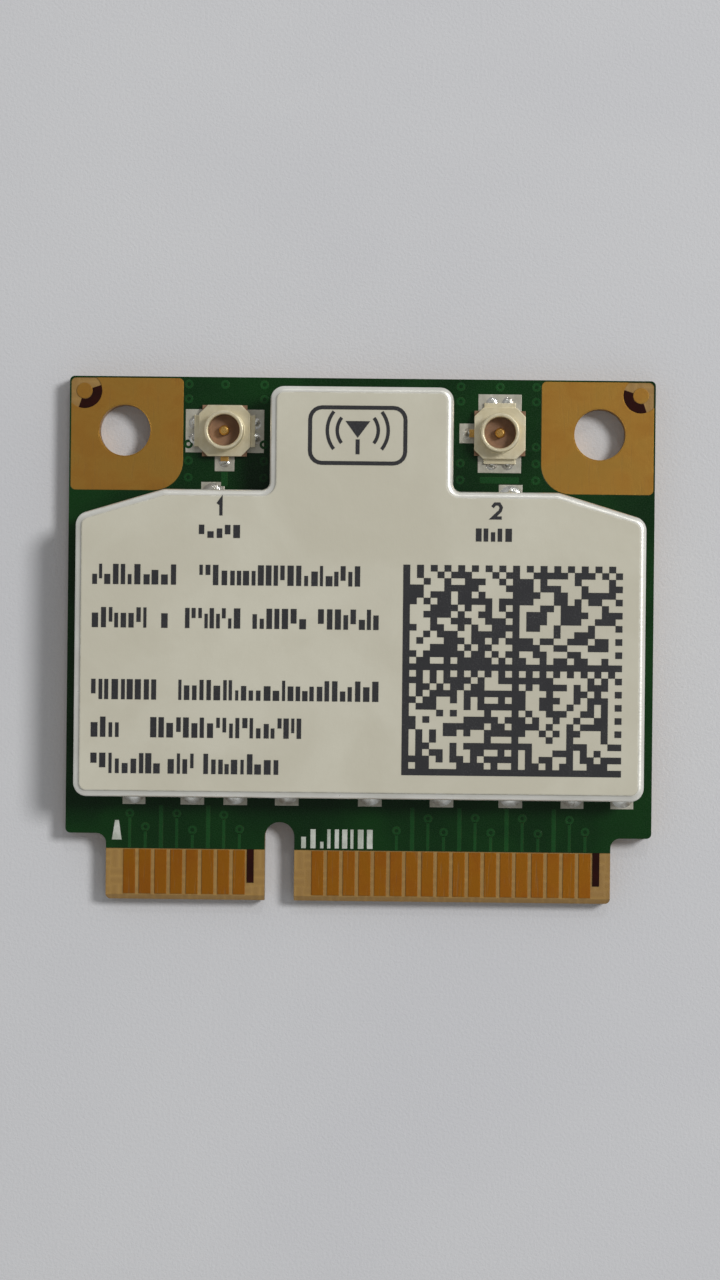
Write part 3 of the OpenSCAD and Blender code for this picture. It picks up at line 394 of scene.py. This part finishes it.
def solderFinish():
    material, tree, shader, place = startFinish("reflowedSolder")
    cloud = useGroup(tree, mottleGroup, Place=place, Size=0.7, Low=0.0, High=1.0)["Value"]
    fine = useGroup(tree, grainGroup, Place=place, Size=0.05, Low=0.0, High=1.0)["Value"]
    tint = blendColor(tree, maths(tree, "MULTIPLY", cloud, 0.75), solder["bright"], solder["dull"])
    # the foot of each joint, below 1.2 mm, turns brown in patches
    footBrownShare = maths(tree, "MULTIPLY", remap(tree, splitPlace(tree, place)[2], 1.2, 1.08), maths(tree, "MULTIPLY", cloud, 0.6))
    plug(tree, shader.inputs["Base Color"], blendColor(tree, footBrownShare, tint, solder["footBrown"]))
    shader.inputs["Metallic"].default_value = 0.85
    plug(tree, shader.inputs["Roughness"], remap(tree, cloud, 0, 1, 0.14, 0.34))
    relief = maths(tree, "ADD", cloud, maths(tree, "MULTIPLY", fine, 0.15))
    bump(tree, shader, relief, 0.02)
    return material


def plainFinish(name, base, other, size, rough, reliefDepth, metallic=0.0, edgeTint=None, specular=0.5):
    # a moulded, fired or plated surface: two tones, a fine grain and rounded edges
    material, tree, shader, place = startFinish(name)
    cloud = useGroup(tree, mottleGroup, Place=place, Size=size * 12, Low=0.0, High=1.0)["Value"]
    fine = useGroup(tree, grainGroup, Place=place, Size=size, Low=0.0, High=1.0)["Value"]
    share = maths(tree, "ADD", maths(tree, "MULTIPLY", cloud, 0.6), maths(tree, "MULTIPLY", fine, 0.3))
    tint = blendColor(tree, share, base, other)
    edges = useGroup(tree, edgeGroup, Place=place, Radius=0.04, Wear=0.6)
    if edgeTint is not None:
        tint = blendColor(tree, edges["Mask"], tint, edgeTint)
    plug(tree, shader.inputs["Base Color"], tint)
    shader.inputs["Metallic"].default_value = metallic
    shader.inputs["Specular IOR Level"].default_value = specular
    plug(tree, shader.inputs["Roughness"], remap(tree, fine, 0, 1, rough, rough + 0.16))
    bump(tree, shader, fine, reliefDepth, edges["Normal"])
    return material


finishes = {
    "laminate": laminateFinish(),
    "greenMask": greenMaskFinish("greenMask", greenMask["deep"], greenMask["light"]),
    "coatedCopper": greenMaskFinish("coatedCopper", screenColor(14, 58, 22), screenColor(24, 74, 30)),
    "landGold": goldFinish("landGold", gold["landBright"], gold["landDull"], 0.25, 0.03),
    "contactGold": goldFinish("contactGold", gold["contactBright"], gold["contactDull"], 0.7, 0.03),
    "lidMetal": sheetMetalFinish("lidMetal", sheetMetal["bright"], sheetMetal["dull"], 0.26, 0.6),
    "fenceMetal": sheetMetalFinish("fenceMetal", screenColor(190, 186, 174), screenColor(150, 146, 136), 0.3, 1.0),
    "labelFilm": labelFilmFinish(),
    "ink": inkFinish(),
    "solder": solderFinish(),
    "shellMetal": plainFinish("shellMetal", screenColor(240, 230, 200), screenColor(222, 208, 170), 0.05, 0.3, 0.003,
                              metallic=0.85, edgeTint=screenColor(250, 246, 228)),
    "pinGold": plainFinish("pinGold", screenColor(232, 186, 104), screenColor(204, 150, 74), 0.04, 0.22, 0.002,
                           metallic=1.0, edgeTint=screenColor(250, 226, 170)),
    "creamPlastic": plainFinish("creamPlastic", screenColor(138, 104, 76), screenColor(112, 80, 56), 0.05, 0.46, 0.004,
                                edgeTint=screenColor(206, 176, 140)),
    "mouldBlack": plainFinish("mouldBlack", screenColor(40, 40, 42), screenColor(54, 54, 56), 0.05, 0.55, 0.006,
                              edgeTint=screenColor(92, 92, 92)),
    "chipSubstrate": plainFinish("chipSubstrate", screenColor(38, 70, 42), screenColor(56, 92, 52), 0.08, 0.4, 0.004,
                                 edgeTint=screenColor(150, 140, 96)),
    "terminalMetal": plainFinish("terminalMetal", screenColor(206, 204, 198), screenColor(168, 166, 158), 0.05, 0.28,
                                 0.004, metallic=1.0, edgeTint=screenColor(236, 234, 228)),
    "ceramicTan": plainFinish("ceramicTan", screenColor(150, 118, 88), screenColor(122, 92, 66), 0.04, 0.45, 0.005,
                              edgeTint=screenColor(184, 156, 124)),
    "ceramicDark": plainFinish("ceramicDark", screenColor(52, 48, 46), screenColor(70, 64, 60), 0.05, 0.4, 0.005,
                               edgeTint=screenColor(112, 106, 100)),
    "ceramicWhite": plainFinish("ceramicWhite", screenColor(216, 212, 200), screenColor(190, 186, 172), 0.05, 0.4, 0.004,
                                edgeTint=screenColor(236, 234, 226)),
    "ceramicBlue": plainFinish("ceramicBlue", screenColor(150, 168, 190), screenColor(120, 140, 166), 0.05, 0.38, 0.004,
                               edgeTint=screenColor(196, 208, 222)),
    "silkWhite": plainFinish("silkWhite", screenColor(206, 208, 200), screenColor(150, 158, 142), 0.06, 0.55, 0.006),
    "tinnedPad": plainFinish("tinnedPad", screenColor(206, 202, 188), screenColor(168, 164, 148), 0.06, 0.3, 0.004,
                             metallic=0.6, edgeTint=screenColor(236, 234, 226)),
    "maroonResist": plainFinish("maroonResist", screenColor(44, 8, 3), screenColor(28, 6, 3), 0.07, 0.6, 0.004,
                                specular=0.1),
}

wornBy = {
    "laminate": ["circuit_board"],
    "greenMask": ["solder_mask_top", "solder_mask_bottom"],
    "landGold": ["mounting_lands_top", "mounting_lands_bottom", "bore_plating", "alignment_marks", "component_lands",
                 "test_lands"],
    "tinnedPad": ["shield_land", "connector_lands"],
    "contactGold": ["edge_contacts_top", "edge_contacts_bottom"],
    "lidMetal": ["shield_lid"],
    "fenceMetal": ["shield_fence"],
    "labelFilm": ["product_label"],
    "ink": ["label_print"],
    "solder": ["shield_solder", "connector_solder", "radio_chip_balls"],
    "shellMetal": ["main_connector_shell", "aux_connector_shell"],
    "pinGold": ["main_connector_pin", "aux_connector_pin"],
    "creamPlastic": ["main_connector_base", "aux_connector_base"],
    "mouldBlack": ["radio_chip", "flash_memory", "front_end_module_a", "front_end_module_b", "power_regulator"],
    "chipSubstrate": ["radio_chip_substrate"],
    "terminalMetal": ["leadless_pads", "power_inductor_ends", "band_filter_ends", "capacitor_ends", "resistor_ends",
                      "rf_inductor_ends", "crystal_cap"],
    "ceramicTan": ["capacitors"],
    "ceramicDark": ["power_inductors", "resistors", "crystal_base"],
    "ceramicWhite": ["band_filters"],
    "ceramicBlue": ["rf_inductors"],
}
for finishName, nodeNames in wornBy.items():
    for nodeName in nodeNames:
        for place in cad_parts[nodeName].material_slots:
            place.material = finishes[finishName]
print("finishes given to", sum(len(names) for names in wornBy.values()), "solids")


# Flat shapes, drawn in millimetres and given a small thickness

def addPrism(bm, outline, low, high):
    under = [bm.verts.new((x * mm, y * mm, low * mm)) for x, y in outline]
    over = [bm.verts.new((x * mm, y * mm, high * mm)) for x, y in outline]
    bm.faces.new(list(reversed(under)))
    bm.faces.new(over)
    for i in range(len(outline)):
        j = (i + 1) % len(outline)
        bm.faces.new((under[i], under[j], over[j], over[i]))


def addRing(bm, centre, inner, outer, low, high, start=0.0, turn=360.0, steps=28):
    closed = turn >= 360
    spans = steps if closed else steps + 1
    rims = []
    for i in range(spans):
        angle = math.radians(start + turn * i / steps)
        ray = Vector((math.cos(angle), math.sin(angle)))
        rims.append([bm.verts.new(((centre[0] + ray.x * r) * mm, (centre[1] + ray.y * r) * mm, z * mm))
                     for r, z in ((inner, low), (outer, low), (outer, high), (inner, high))])
    for i in range(steps):
        one, two = rims[i], rims[(i + 1) % spans]
        for a in range(4):
            b = (a + 1) % 4
            bm.faces.new((one[a], two[a], two[b], one[b]))
    if not closed:
        bm.faces.new(rims[0])
        bm.faces.new(list(reversed(rims[-1])))


def ribbon(path, width):
    # the outline of a line of that width through the points, with mitred corners
    left, right = [], []
    points = [Vector(p) for p in path]
    for i, point in enumerate(points):
        ahead = (points[i + 1] - point).normalized() if i < len(points) - 1 else None
        behind = (point - points[i - 1]).normalized() if i else None
        one = ahead or behind
        two = behind or ahead
        normalOne, normalTwo = Vector((-one.y, one.x)), Vector((-two.y, two.x))
        mitre = (normalOne + normalTwo) / (1 + normalOne.dot(normalTwo))
        left.append(point + mitre * width / 2)
        right.append(point - mitre * width / 2)
    return [tuple(p) for p in right + left[::-1]]


def boxOutline(x, y, width, height):
    return [(x, y), (x + width, y), (x + width, y + height), (x, y + height)]


def roundedOutline(centre, width, height, radius, steps=5):
    points = []
    for sx, sy, first in ((1, 1, 0), (-1, 1, 90), (-1, -1, 180), (1, -1, 270)):
        for i in range(steps + 1):
            angle = math.radians(first + 90 * i / steps)
            points.append((centre[0] + sx * (width / 2 - radius) + radius * math.cos(angle),
                           centre[1] + sy * (height / 2 - radius) + radius * math.sin(angle)))
    return points


def finishPiece(bm, name, finish, replaced=()):
    bmesh.ops.recalc_face_normals(bm, faces=bm.faces)
    mesh = bpy.data.meshes.new(name)
    bm.to_mesh(mesh)
    bm.free()
    piece = bpy.data.objects.new(name, mesh)
    bpy.context.collection.objects.link(piece)
    mesh.materials.append(finishes[finish])
    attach(piece, "root")
    if replaced:
        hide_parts(*replaced)
    return piece


# Print on the label: a module field, rows of ticks in place of words, numerals and an aerial sign

labelPrint = {"low": 3.35, "high": 3.368, "corner": (2.17, -6.78), "modules": 32, "width": 11.05, "height": 10.6,
              "darkShare": 0.53, "seed": 11, "tick": (0.15, 0.34), "tickGap": (0.09, 0.17), "tickHeight": 1.02,
              "rows": [(3.2, [(-13.5, -9.2), (-8.1, 0.0)]),
                       (1.02, [(-13.5, -10.5), (-10.0, -9.4), (-8.8, -6.0), (-5.4, -2.7), (-2.1, 1.05)]),
                       (-2.6, [(-13.5, -10.0), (-9.1, 1.1)]),
                       (-4.5, [(-13.5, -11.9), (-10.5, -2.7)]),
                       (-6.32, [(-13.5, -10.0), (-9.6, -8.3), (-7.8, -3.9)])],
              "bars": [(-8.15, -5.95, 5.4), (5.8, 7.75, 5.35)], "barHeight": 0.66,
              "numerals": [(-7.05, 6.6), (6.85, 6.55)], "numeralHeight": 0.8, "stroke": 0.16,
              "sign": (-0.2, 10.3), "signSize": (5.0, 3.0), "signLine": 0.2}


def moduleIsDark(i, j, draws, half):
    u, v = i % half, j % half
    if u == 0 or v == 0:
        return True
    if u == half - 1:
        return v % 2 == 0
    if v == half - 1:
        return u % 2 == 0
    return draws[i + j * 2 * half] < labelPrint["darkShare"]


def addModuleField(bm):
    count = labelPrint["modules"]
    chance = random.Random(labelPrint["seed"])
    draws = [chance.random() for _ in range(count * count)]
    dark = {(i, j) for i in range(count) for j in range(count) if moduleIsDark(i, j, draws, count // 2)}
    stepX, stepY = labelPrint["width"] / count, labelPrint["height"] / count
    corners = {}

    def corner(i, j, cell):
        around = [c for c in ((i - 1, j - 1), (i, j - 1), (i - 1, j), (i, j)) if c in dark]
        onlyDiagonal = len(around) == 2 and around[0][0] != around[1][0] and around[0][1] != around[1][1]
        key = (i, j, cell) if onlyDiagonal else (i, j)
        if key not in corners:
            x, y = labelPrint["corner"][0] + i * stepX, labelPrint["corner"][1] + j * stepY
            corners[key] = [bm.verts.new((x * mm, y * mm, z * mm)) for z in (labelPrint["low"], labelPrint["high"])]
        return corners[key]

    for i, j in sorted(dark):
        ring = [corner(i + a, j + b, (i, j)) for a, b in ((0, 0), (1, 0), (1, 1), (0, 1))]
        bm.faces.new([c[1] for c in ring])
        bm.faces.new([c[0] for c in reversed(ring)])
        for k, (a, b) in enumerate(((0, -1), (1, 0), (0, 1), (-1, 0))):
            if (i + a, j + b) not in dark:
                one, two = ring[k], ring[(k + 1) % 4]
                bm.faces.new((one[0], two[0], two[1], one[1]))


def addTicks(bm, left, right, middle, height, chance):
    x = left
    while x < right - labelPrint["tick"][0]:
        width = min(chance.uniform(*labelPrint["tick"]), right - x)
        tall = height * chance.choice((1.0, 1.0, 0.72, 0.72, 0.5))
        low = middle - height / 2 + chance.choice((0.0, 0.0, 0.0, height - tall))
        addPrism(bm, boxOutline(x, low, width, tall), labelPrint["low"], labelPrint["high"])
        x += width + chance.uniform(*labelPrint["tickGap"])


def addNumerals(bm):
    tall, line = labelPrint["numeralHeight"], labelPrint["stroke"]
    shapes = [[(-0.2, 0.22), (0.0, 0.5), (0.0, -0.5)],
              [(-0.28, 0.26), (-0.12, 0.46), (0.14, 0.46), (0.27, 0.24), (0.2, 0.02), (-0.26, -0.42), (0.3, -0.42)]]
    for (x, y), shape in zip(labelPrint["numerals"], shapes):
        addPrism(bm, ribbon([(x + a * tall, y + b * tall) for a, b in shape], line),
                 labelPrint["low"], labelPrint["high"])


def addSign(bm):
    x, y = labelPrint["sign"]
    width, height = labelPrint["signSize"]
    line, low, high = labelPrint["signLine"], labelPrint["low"], labelPrint["high"]
    outer = roundedOutline((x, y), width, height, 0.7)
    inner = roundedOutline((x, y), width - 2 * line, height - 2 * line, 0.7 - line)
    rims = [[bm.verts.new((a * mm, b * mm, z * mm)) for a, b in edge]
            for edge, z in ((outer, low), (outer, high), (inner, high), (inner, low))]
    for k in range(4):
        one, two = rims[k], rims[(k + 1) % 4]
        for i in range(len(outer)):
            j = (i + 1) % len(outer)
            bm.faces.new((one[i], one[j], two[j], two[i]))
    addPrism(bm, [(x - 0.62, y + 0.72), (x, y - 0.12), (x + 0.62, y + 0.72)], low, high)
    addPrism(bm, boxOutline(x - 0.1, y - 0.95, 0.2, 0.75), low, high)
    for side in (-1, 1):
        for reach in (0.95, 1.45):
            start = -38 if side > 0 else 142
            addRing(bm, (x, y + 0.25), reach, reach + 0.17, low, high, start, 76, 10)


def makeLabelPrint():
    bm = bmesh.new()
    chance = random.Random(labelPrint["seed"] + 1)
    addModuleField(bm)
    for middle, words in labelPrint["rows"]:
        for left, right in words:
            addTicks(bm, left, right, middle, labelPrint["tickHeight"], chance)
    for left, right, middle in labelPrint["bars"]:
        addTicks(bm, left, right, middle, labelPrint["barHeight"], chance)
    addNumerals(bm)
    addSign(bm)
    finishPiece(bm, "labelPrint", "ink", ["label_print"])


makeLabelPrint()
print("label printed")


# The cover, its label, fence and solder are drawn in a little, to the width that the photograph shows.
# The green mask keeps its outline and follows the land that it meets.

cover = {"from": (9.0, 9.5), "edge": (14.595, 12.875), "pull": (0.2, 0.1), "meets": 0.04,
         "pieces": {"solder_mask_top": ("topMask", "greenMask", "green_mask"),
                    "shield_lid": ("coverLid", "lidMetal", "lid_metal"),
                    "product_label": ("coverLabel", "labelFilm", "label_film"),
                    "shield_fence": ("coverFence", "fenceMetal", "fence_metal"),
                    "shield_land": ("coverLand", "tinnedPad", "gold_plate"),
                    "shield_solder": ("coverSolder", "solder", "solder")}}


def drawnIn(value, start, edge, pull):
    share = max(0.0, (abs(value) / mm - start) / (edge - start))
    return value - math.copysign(pull * share * mm, value)


def outlinePoints(nodeName):
    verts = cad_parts[nodeName].data.vertices
    points = KDTree(len(verts))
    for i, vert in enumerate(verts):
        points.insert((vert.co.x, vert.co.y, 0), i)
    points.balance()
    return points


def makeDrawnInCover():
    landPoints = outlinePoints("shield_land")
    for nodeName, (pieceName, finish, slotName) in cover["pieces"].items():
        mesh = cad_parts[nodeName].data.copy()
        mesh.name = pieceName
        for vert in mesh.vertices:
            apart = landPoints.find((vert.co.x, vert.co.y, 0))[2]
            if nodeName == "solder_mask_top" and apart > cover["meets"] * mm:
                continue
            vert.co.x = drawnIn(vert.co.x, cover["from"][0], cover["edge"][0], cover["pull"][0])
            if vert.co.y > 0:
                vert.co.y = drawnIn(vert.co.y, cover["from"][1], cover["edge"][1], cover["pull"][1])
        mesh.materials.clear()
        mesh.materials.append(finishes[finish])
        piece = bpy.data.objects.new(pieceName, mesh)
        bpy.context.collection.objects.link(piece)
        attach(piece, "root")
        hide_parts(nodeName)


makeDrawnInCover()
print("cover drawn in")


# White marks and dark rings on the board

boardMarks = {"low": 1.07, "high": 1.078, "stroke": (-12.3, -10.3, 0.5, 0.2, 1.0),
              "blocks": (-2.9, 0.95, -10.15, 0.98), "seed": 5}


def makeBoardMarks():
    bm = bmesh.new()
    chance = random.Random(boardMarks["seed"])
    low, high = boardMarks["low"], boardMarks["high"]
    x, y, wide, narrow, tall = boardMarks["stroke"]
    addPrism(bm, [(x - wide / 2, y), (x + wide / 2, y), (x + narrow / 2, y + tall), (x - narrow / 2, y + tall)], low, high)
    left, right, middle, tall = boardMarks["blocks"]
    x = left
    while x < right - 0.2:
        width = chance.uniform(0.16, 0.3)
        share = chance.choice((1.0, 1.0, 0.6, 0.35))
        drop = chance.choice((0.0, (1 - share) * tall))
        addPrism(bm, boxOutline(x, middle - tall / 2 + drop, width, share * tall), low, high)
        x += width + chance.uniform(0.14, 0.24)
    finishPiece(bm, "boardMarks", "silkWhite")


markRings = {"centre": (14.175, 12.575), "inner": 0.42, "outer": 0.89, "low": 1.035, "high": 1.06, "turn": 128.0,
             "strips": [(-5.65, -12.42, 0.35, 1.7), (11.95, -12.42, 0.35, 1.7)], "stripTop": 1.074}


def makeMarkRings():
    bm = bmesh.new()
    for side in (-1, 1):
        x, y = markRings["centre"]
        start = (270 if side < 0 else 270 - 90) - (markRings["turn"] - 90) / 2
        addRing(bm, (side * x, y), markRings["inner"], markRings["outer"], markRings["low"], markRings["high"],
                start, markRings["turn"])
    for strip in markRings["strips"]:
        addPrism(bm, boxOutline(*strip), 1.07, markRings["stripTop"])
    finishPiece(bm, "darkResist", "maroonResist")


makeBoardMarks()
makeMarkRings()


# Copper that runs under the green coat stands out as low ribs and rings

coatedTop = {"low": 1.07, "high": 1.0745, "width": 0.16, "firstContact": -11.65, "pitch": 0.8, "left": 8, "right": 18,
             "keyGap": 4.0, "startY": -10.7, "endY": -8.5, "ring": (0.1, 0.23),
             "ringRows": (-9.0, -9.7), "seed": 23}


def topContactPlaces():
    first, pitch = coatedTop["firstContact"], coatedTop["pitch"]
    last = first + (coatedTop["left"] - 1) * pitch
    return [first + k * pitch for k in range(coatedTop["left"])] + \
        [last + coatedTop["keyGap"] + k * pitch for k in range(coatedTop["right"])]


def makeCoatedTracks():
    bm = bmesh.new()
    chance = random.Random(coatedTop["seed"])
    low, high, width = coatedTop["low"], coatedTop["high"], coatedTop["width"]
    inner, outer = coatedTop["ring"]
    markSpan = (boardMarks["blocks"][0] - 0.3, boardMarks["blocks"][1] + 0.3)
    for k, x in enumerate(topContactPlaces()):
        if markSpan[0] < x < markSpan[1]:
            continue
        if k % 3 == 2:
            addPrism(bm, ribbon([(x, coatedTop["startY"]), (x, coatedTop["endY"])], width * 1.4), low, high)
            continue
        ringY = coatedTop["ringRows"][k % 3] + chance.uniform(-0.08, 0.08)
        addPrism(bm, ribbon([(x, coatedTop["startY"]), (x, ringY - outer + 0.03)], width), low, high)
        addRing(bm, (x, ringY), inner, outer, low, high, steps=18)
    for side in (-1, 1):
        for y in (8.2, 9.05, 9.9, 12.2, 12.95):
            for x in (5.0, 8.85):
                besideSignalLand = side > 0 and x < 6 and 9.4 < y < 11.8
                if not besideSignalLand:
                    addRing(bm, (side * x, y), inner, outer, low, high, steps=18)
        addRing(bm, (side * 7.0, 12.95), inner, outer, low, high, steps=18)
    addPrism(bm, ribbon([(-7.0, 8.5), (-7.0, 7.76)], 0.34), low, high)
    addPrism(bm, ribbon([(6.0, 8.2), (8.0, 8.2)], 0.34), low, high)
    finishPiece(bm, "coatedTracks", "coatedCopper")


makeCoatedTracks()
print("board details made")


# The underside: the mask a hair lower than the lands, with tracks and stitched rings under its coat

under = {"mask": 0.006, "track": 0.002, "width": 0.2, "bus": 0.42, "firstContact": -12.05, "seed": 31}


def makeUndersideMask():
    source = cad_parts["solder_mask_bottom"].data
    bm = bmesh.new()
    bm.from_mesh(source)
    for vert in bm.verts:
        if vert.co.z < 0.01 * mm:
            vert.co.z = under["mask"] * mm
    finishPiece(bm, "undersideMask", "greenMask", ["solder_mask_bottom"])


def makeUndersideTracks():
    bm = bmesh.new()
    chance = random.Random(under["seed"])
    low, high, width = under["track"], under["mask"], under["width"]
    inner, outer = coatedTop["ring"]
    kept = []

    def ring(x, y):
        kept.append((x, y))
        addRing(bm, (x, y), inner, outer, low, high, steps=16)

    def route(path):
        addPrism(bm, ribbon(path, width), low, high)
        for one, two in zip(path, path[1:]):
            steps = math.ceil(math.dist(one, two) / 0.3)
            for step in range(steps + 1):
                kept.append((one[0] + (two[0] - one[0]) * step / steps, one[1] + (two[1] - one[1]) * step / steps))

    leftPlaces = [under["firstContact"] + 0.8 * k for k in range(8)]
    for k, x in enumerate(leftPlaces):
        endX = -10.6 + under["bus"] * k
        bend = abs(endX - x)
        turnY = -9.6
        topY = (5.6, 4.7, 3.8)[k % 3] - 0.5 * (k // 3)
        path = [(x, -10.7), (x, turnY), (endX, turnY + bend), (endX, topY)]
        if bend < 0.05:
            path = [path[0], (endX, topY)]
        route(path)
        ring(endX, topY + outer - 0.03)
    rightPlaces = [leftPlaces[-1] + 4.0 + 0.8 * k for k in range(18)]
    for k, x in enumerate(rightPlaces):
        if k < 7:
            topY = (-8.2, -7.2, -6.2)[k % 3]
            route([(x, -10.7), (x, topY)])
            ring(x, topY + outer - 0.03)
            continue
        endX = 7.1 + under["bus"] * (k - 7)
        bend = endX - x
        turnY = -9.8
        topY = (6.2, 5.2, 4.2)[k % 3] - 0.3 * (k - 7)
        if abs(bend) < 0.05:
            route([(x, -10.7), (endX, topY)])
        else:
            route([(x, -10.7), (x, turnY), (endX, turnY + abs(bend)), (endX, topY)])
        ring(endX, topY + outer - 0.03)
    for row, y in enumerate((-4.1, 3.6, 4.4)):
        route([(-5.9, y), (-5.2 + 0.3 * row, y + 0.7), (4.9 - 0.3 * row, y + 0.7), (5.6, y)])
        ring(-5.9 - 0.12, y - 0.12)
        ring(5.6 + 0.12, y - 0.12)
    tests = [(-4.4 + 2.2 * i, -2.5 + 2.2 * j) for i in range(5) for j in range(3)]
    tries = 0
    stitched = 0
    while stitched < 90 and tries < 4000:
        tries += 1
        x, y = chance.uniform(-14.4, 14.4), chance.uniform(-9.3, 12.8)
        nearLand = abs(x) > 8.6 and y > 7.0
        nearTest = any(math.hypot(x - a, y - b) < 0.9 for a, b in tests)
        nearTrack = any(math.hypot(x - a, y - b) < 0.62 for a, b in kept)
        if nearLand or nearTest or nearTrack:
            continue
        ring(x, y)
        stitched += 1
    finishPiece(bm, "undersideTracks", "coatedCopper")


makeUndersideMask()
makeUndersideTracks()
print("underside made")


# Floor, light and camera

studio = {"floorSize": 3.0, "floorDrop": 0.02, "floor": screenColor(208, 208, 209), "zenith": 0.24,
          "horizon": 0.62, "keyPower": 3.85, "keySize": 0.22, "keyPlace": (0.46, 0.24, 0.6), "glintPower": 0.25,
          "glintSize": 0.04, "glintPlace": (0.1, 0.5, 0.55)}


def floorFinish():
    material, tree, shader, place = startFinish("paper")
    cloud = useGroup(tree, mottleGroup, Place=place, Size=30.0, Low=0.0, High=1.0)["Value"]
    fine = useGroup(tree, grainGroup, Place=place, Size=0.15, Low=0.0, High=1.0)["Value"]
    share = maths(tree, "ADD", maths(tree, "MULTIPLY", cloud, 0.25), maths(tree, "MULTIPLY", fine, 0.15))
    plug(tree, shader.inputs["Base Color"], blendColor(tree, share, studio["floor"], screenColor(188, 188, 194)))
    shader.inputs["Roughness"].default_value = 0.9
    bump(tree, shader, fine, 0.01)
    return material


def makeFloor():
    bm = bmesh.new()
    bmesh.ops.create_grid(bm, x_segments=2, y_segments=2, size=studio["floorSize"] / 2)
    mesh = bpy.data.meshes.new("floor")
    bm.to_mesh(mesh)
    bm.free()
    floor = bpy.data.objects.new("floor", mesh)
    floor.location.z = -studio["floorDrop"] * mm
    bpy.context.collection.objects.link(floor)
    mesh.materials.append(floorFinish())


def makeLamp(name, power, size, place, aim=(0, 0, 0)):
    data = bpy.data.lights.new(name, "AREA")
    data.shape = "DISK"
    data.energy = power
    data.size = size
    lamp = bpy.data.objects.new(name, data)
    lamp.location = place
    lamp.rotation_euler = (Vector(aim) - Vector(place)).to_track_quat("-Z", "Y").to_euler()
    bpy.context.collection.objects.link(lamp)


def makeWorld():
    world = bpy.data.worlds.new("softRoom")
    world.use_nodes = True
    tree = world.node_tree
    up = splitPlace(tree, addNode(tree, "TexCoord").outputs["Generated"])[2]
    level = remap(tree, up, 0.0, 1.0, studio["horizon"], studio["zenith"])
    background = tree.nodes["Background"]
    background.inputs["Color"].default_value = (0.97, 0.985, 1.0, 1.0)
    plug(tree, background.inputs["Strength"], level)
    bpy.context.scene.world = world


makeFloor()
makeWorld()
makeLamp("keyLamp", studio["keyPower"], studio["keySize"], studio["keyPlace"])
makeLamp("glintLamp", studio["glintPower"], studio["glintSize"], studio["glintPlace"])

shot = {"distance": 0.1957, "tiltToRight": 0.6, "roll": 0.6, "focalPixels": 1100, "zoom": 3.5, "longSide": 1280,
        "sensor": 36.0, "aim": (0.0, 0.0, 0.0015)}


def makeCamera():
    data = bpy.data.cameras.new("camera")
    data.sensor_width = shot["sensor"]
    data.lens = shot["focalPixels"] * shot["zoom"] * shot["sensor"] / shot["longSide"]
    data.clip_start = 0.01
    camera = bpy.data.objects.new("camera", data)
    tilt, roll = math.radians(shot["tiltToRight"]), math.radians(shot["roll"])
    back = Vector((math.sin(tilt), 0, math.cos(tilt)))
    upward = Vector((-math.sin(roll), math.cos(roll), 0))
    side = upward.cross(back).normalized()
    upward = back.cross(side)
    camera.matrix_world = Matrix.Translation(Vector(shot["aim"]) + back * shot["distance"]) @ \
        Matrix((side, upward, back)).transposed().to_4x4()
    bpy.context.collection.objects.link(camera)
    bpy.context.scene.camera = camera


makeCamera()
bpy.context.scene.view_settings.view_transform = "Standard"
print("studio ready")
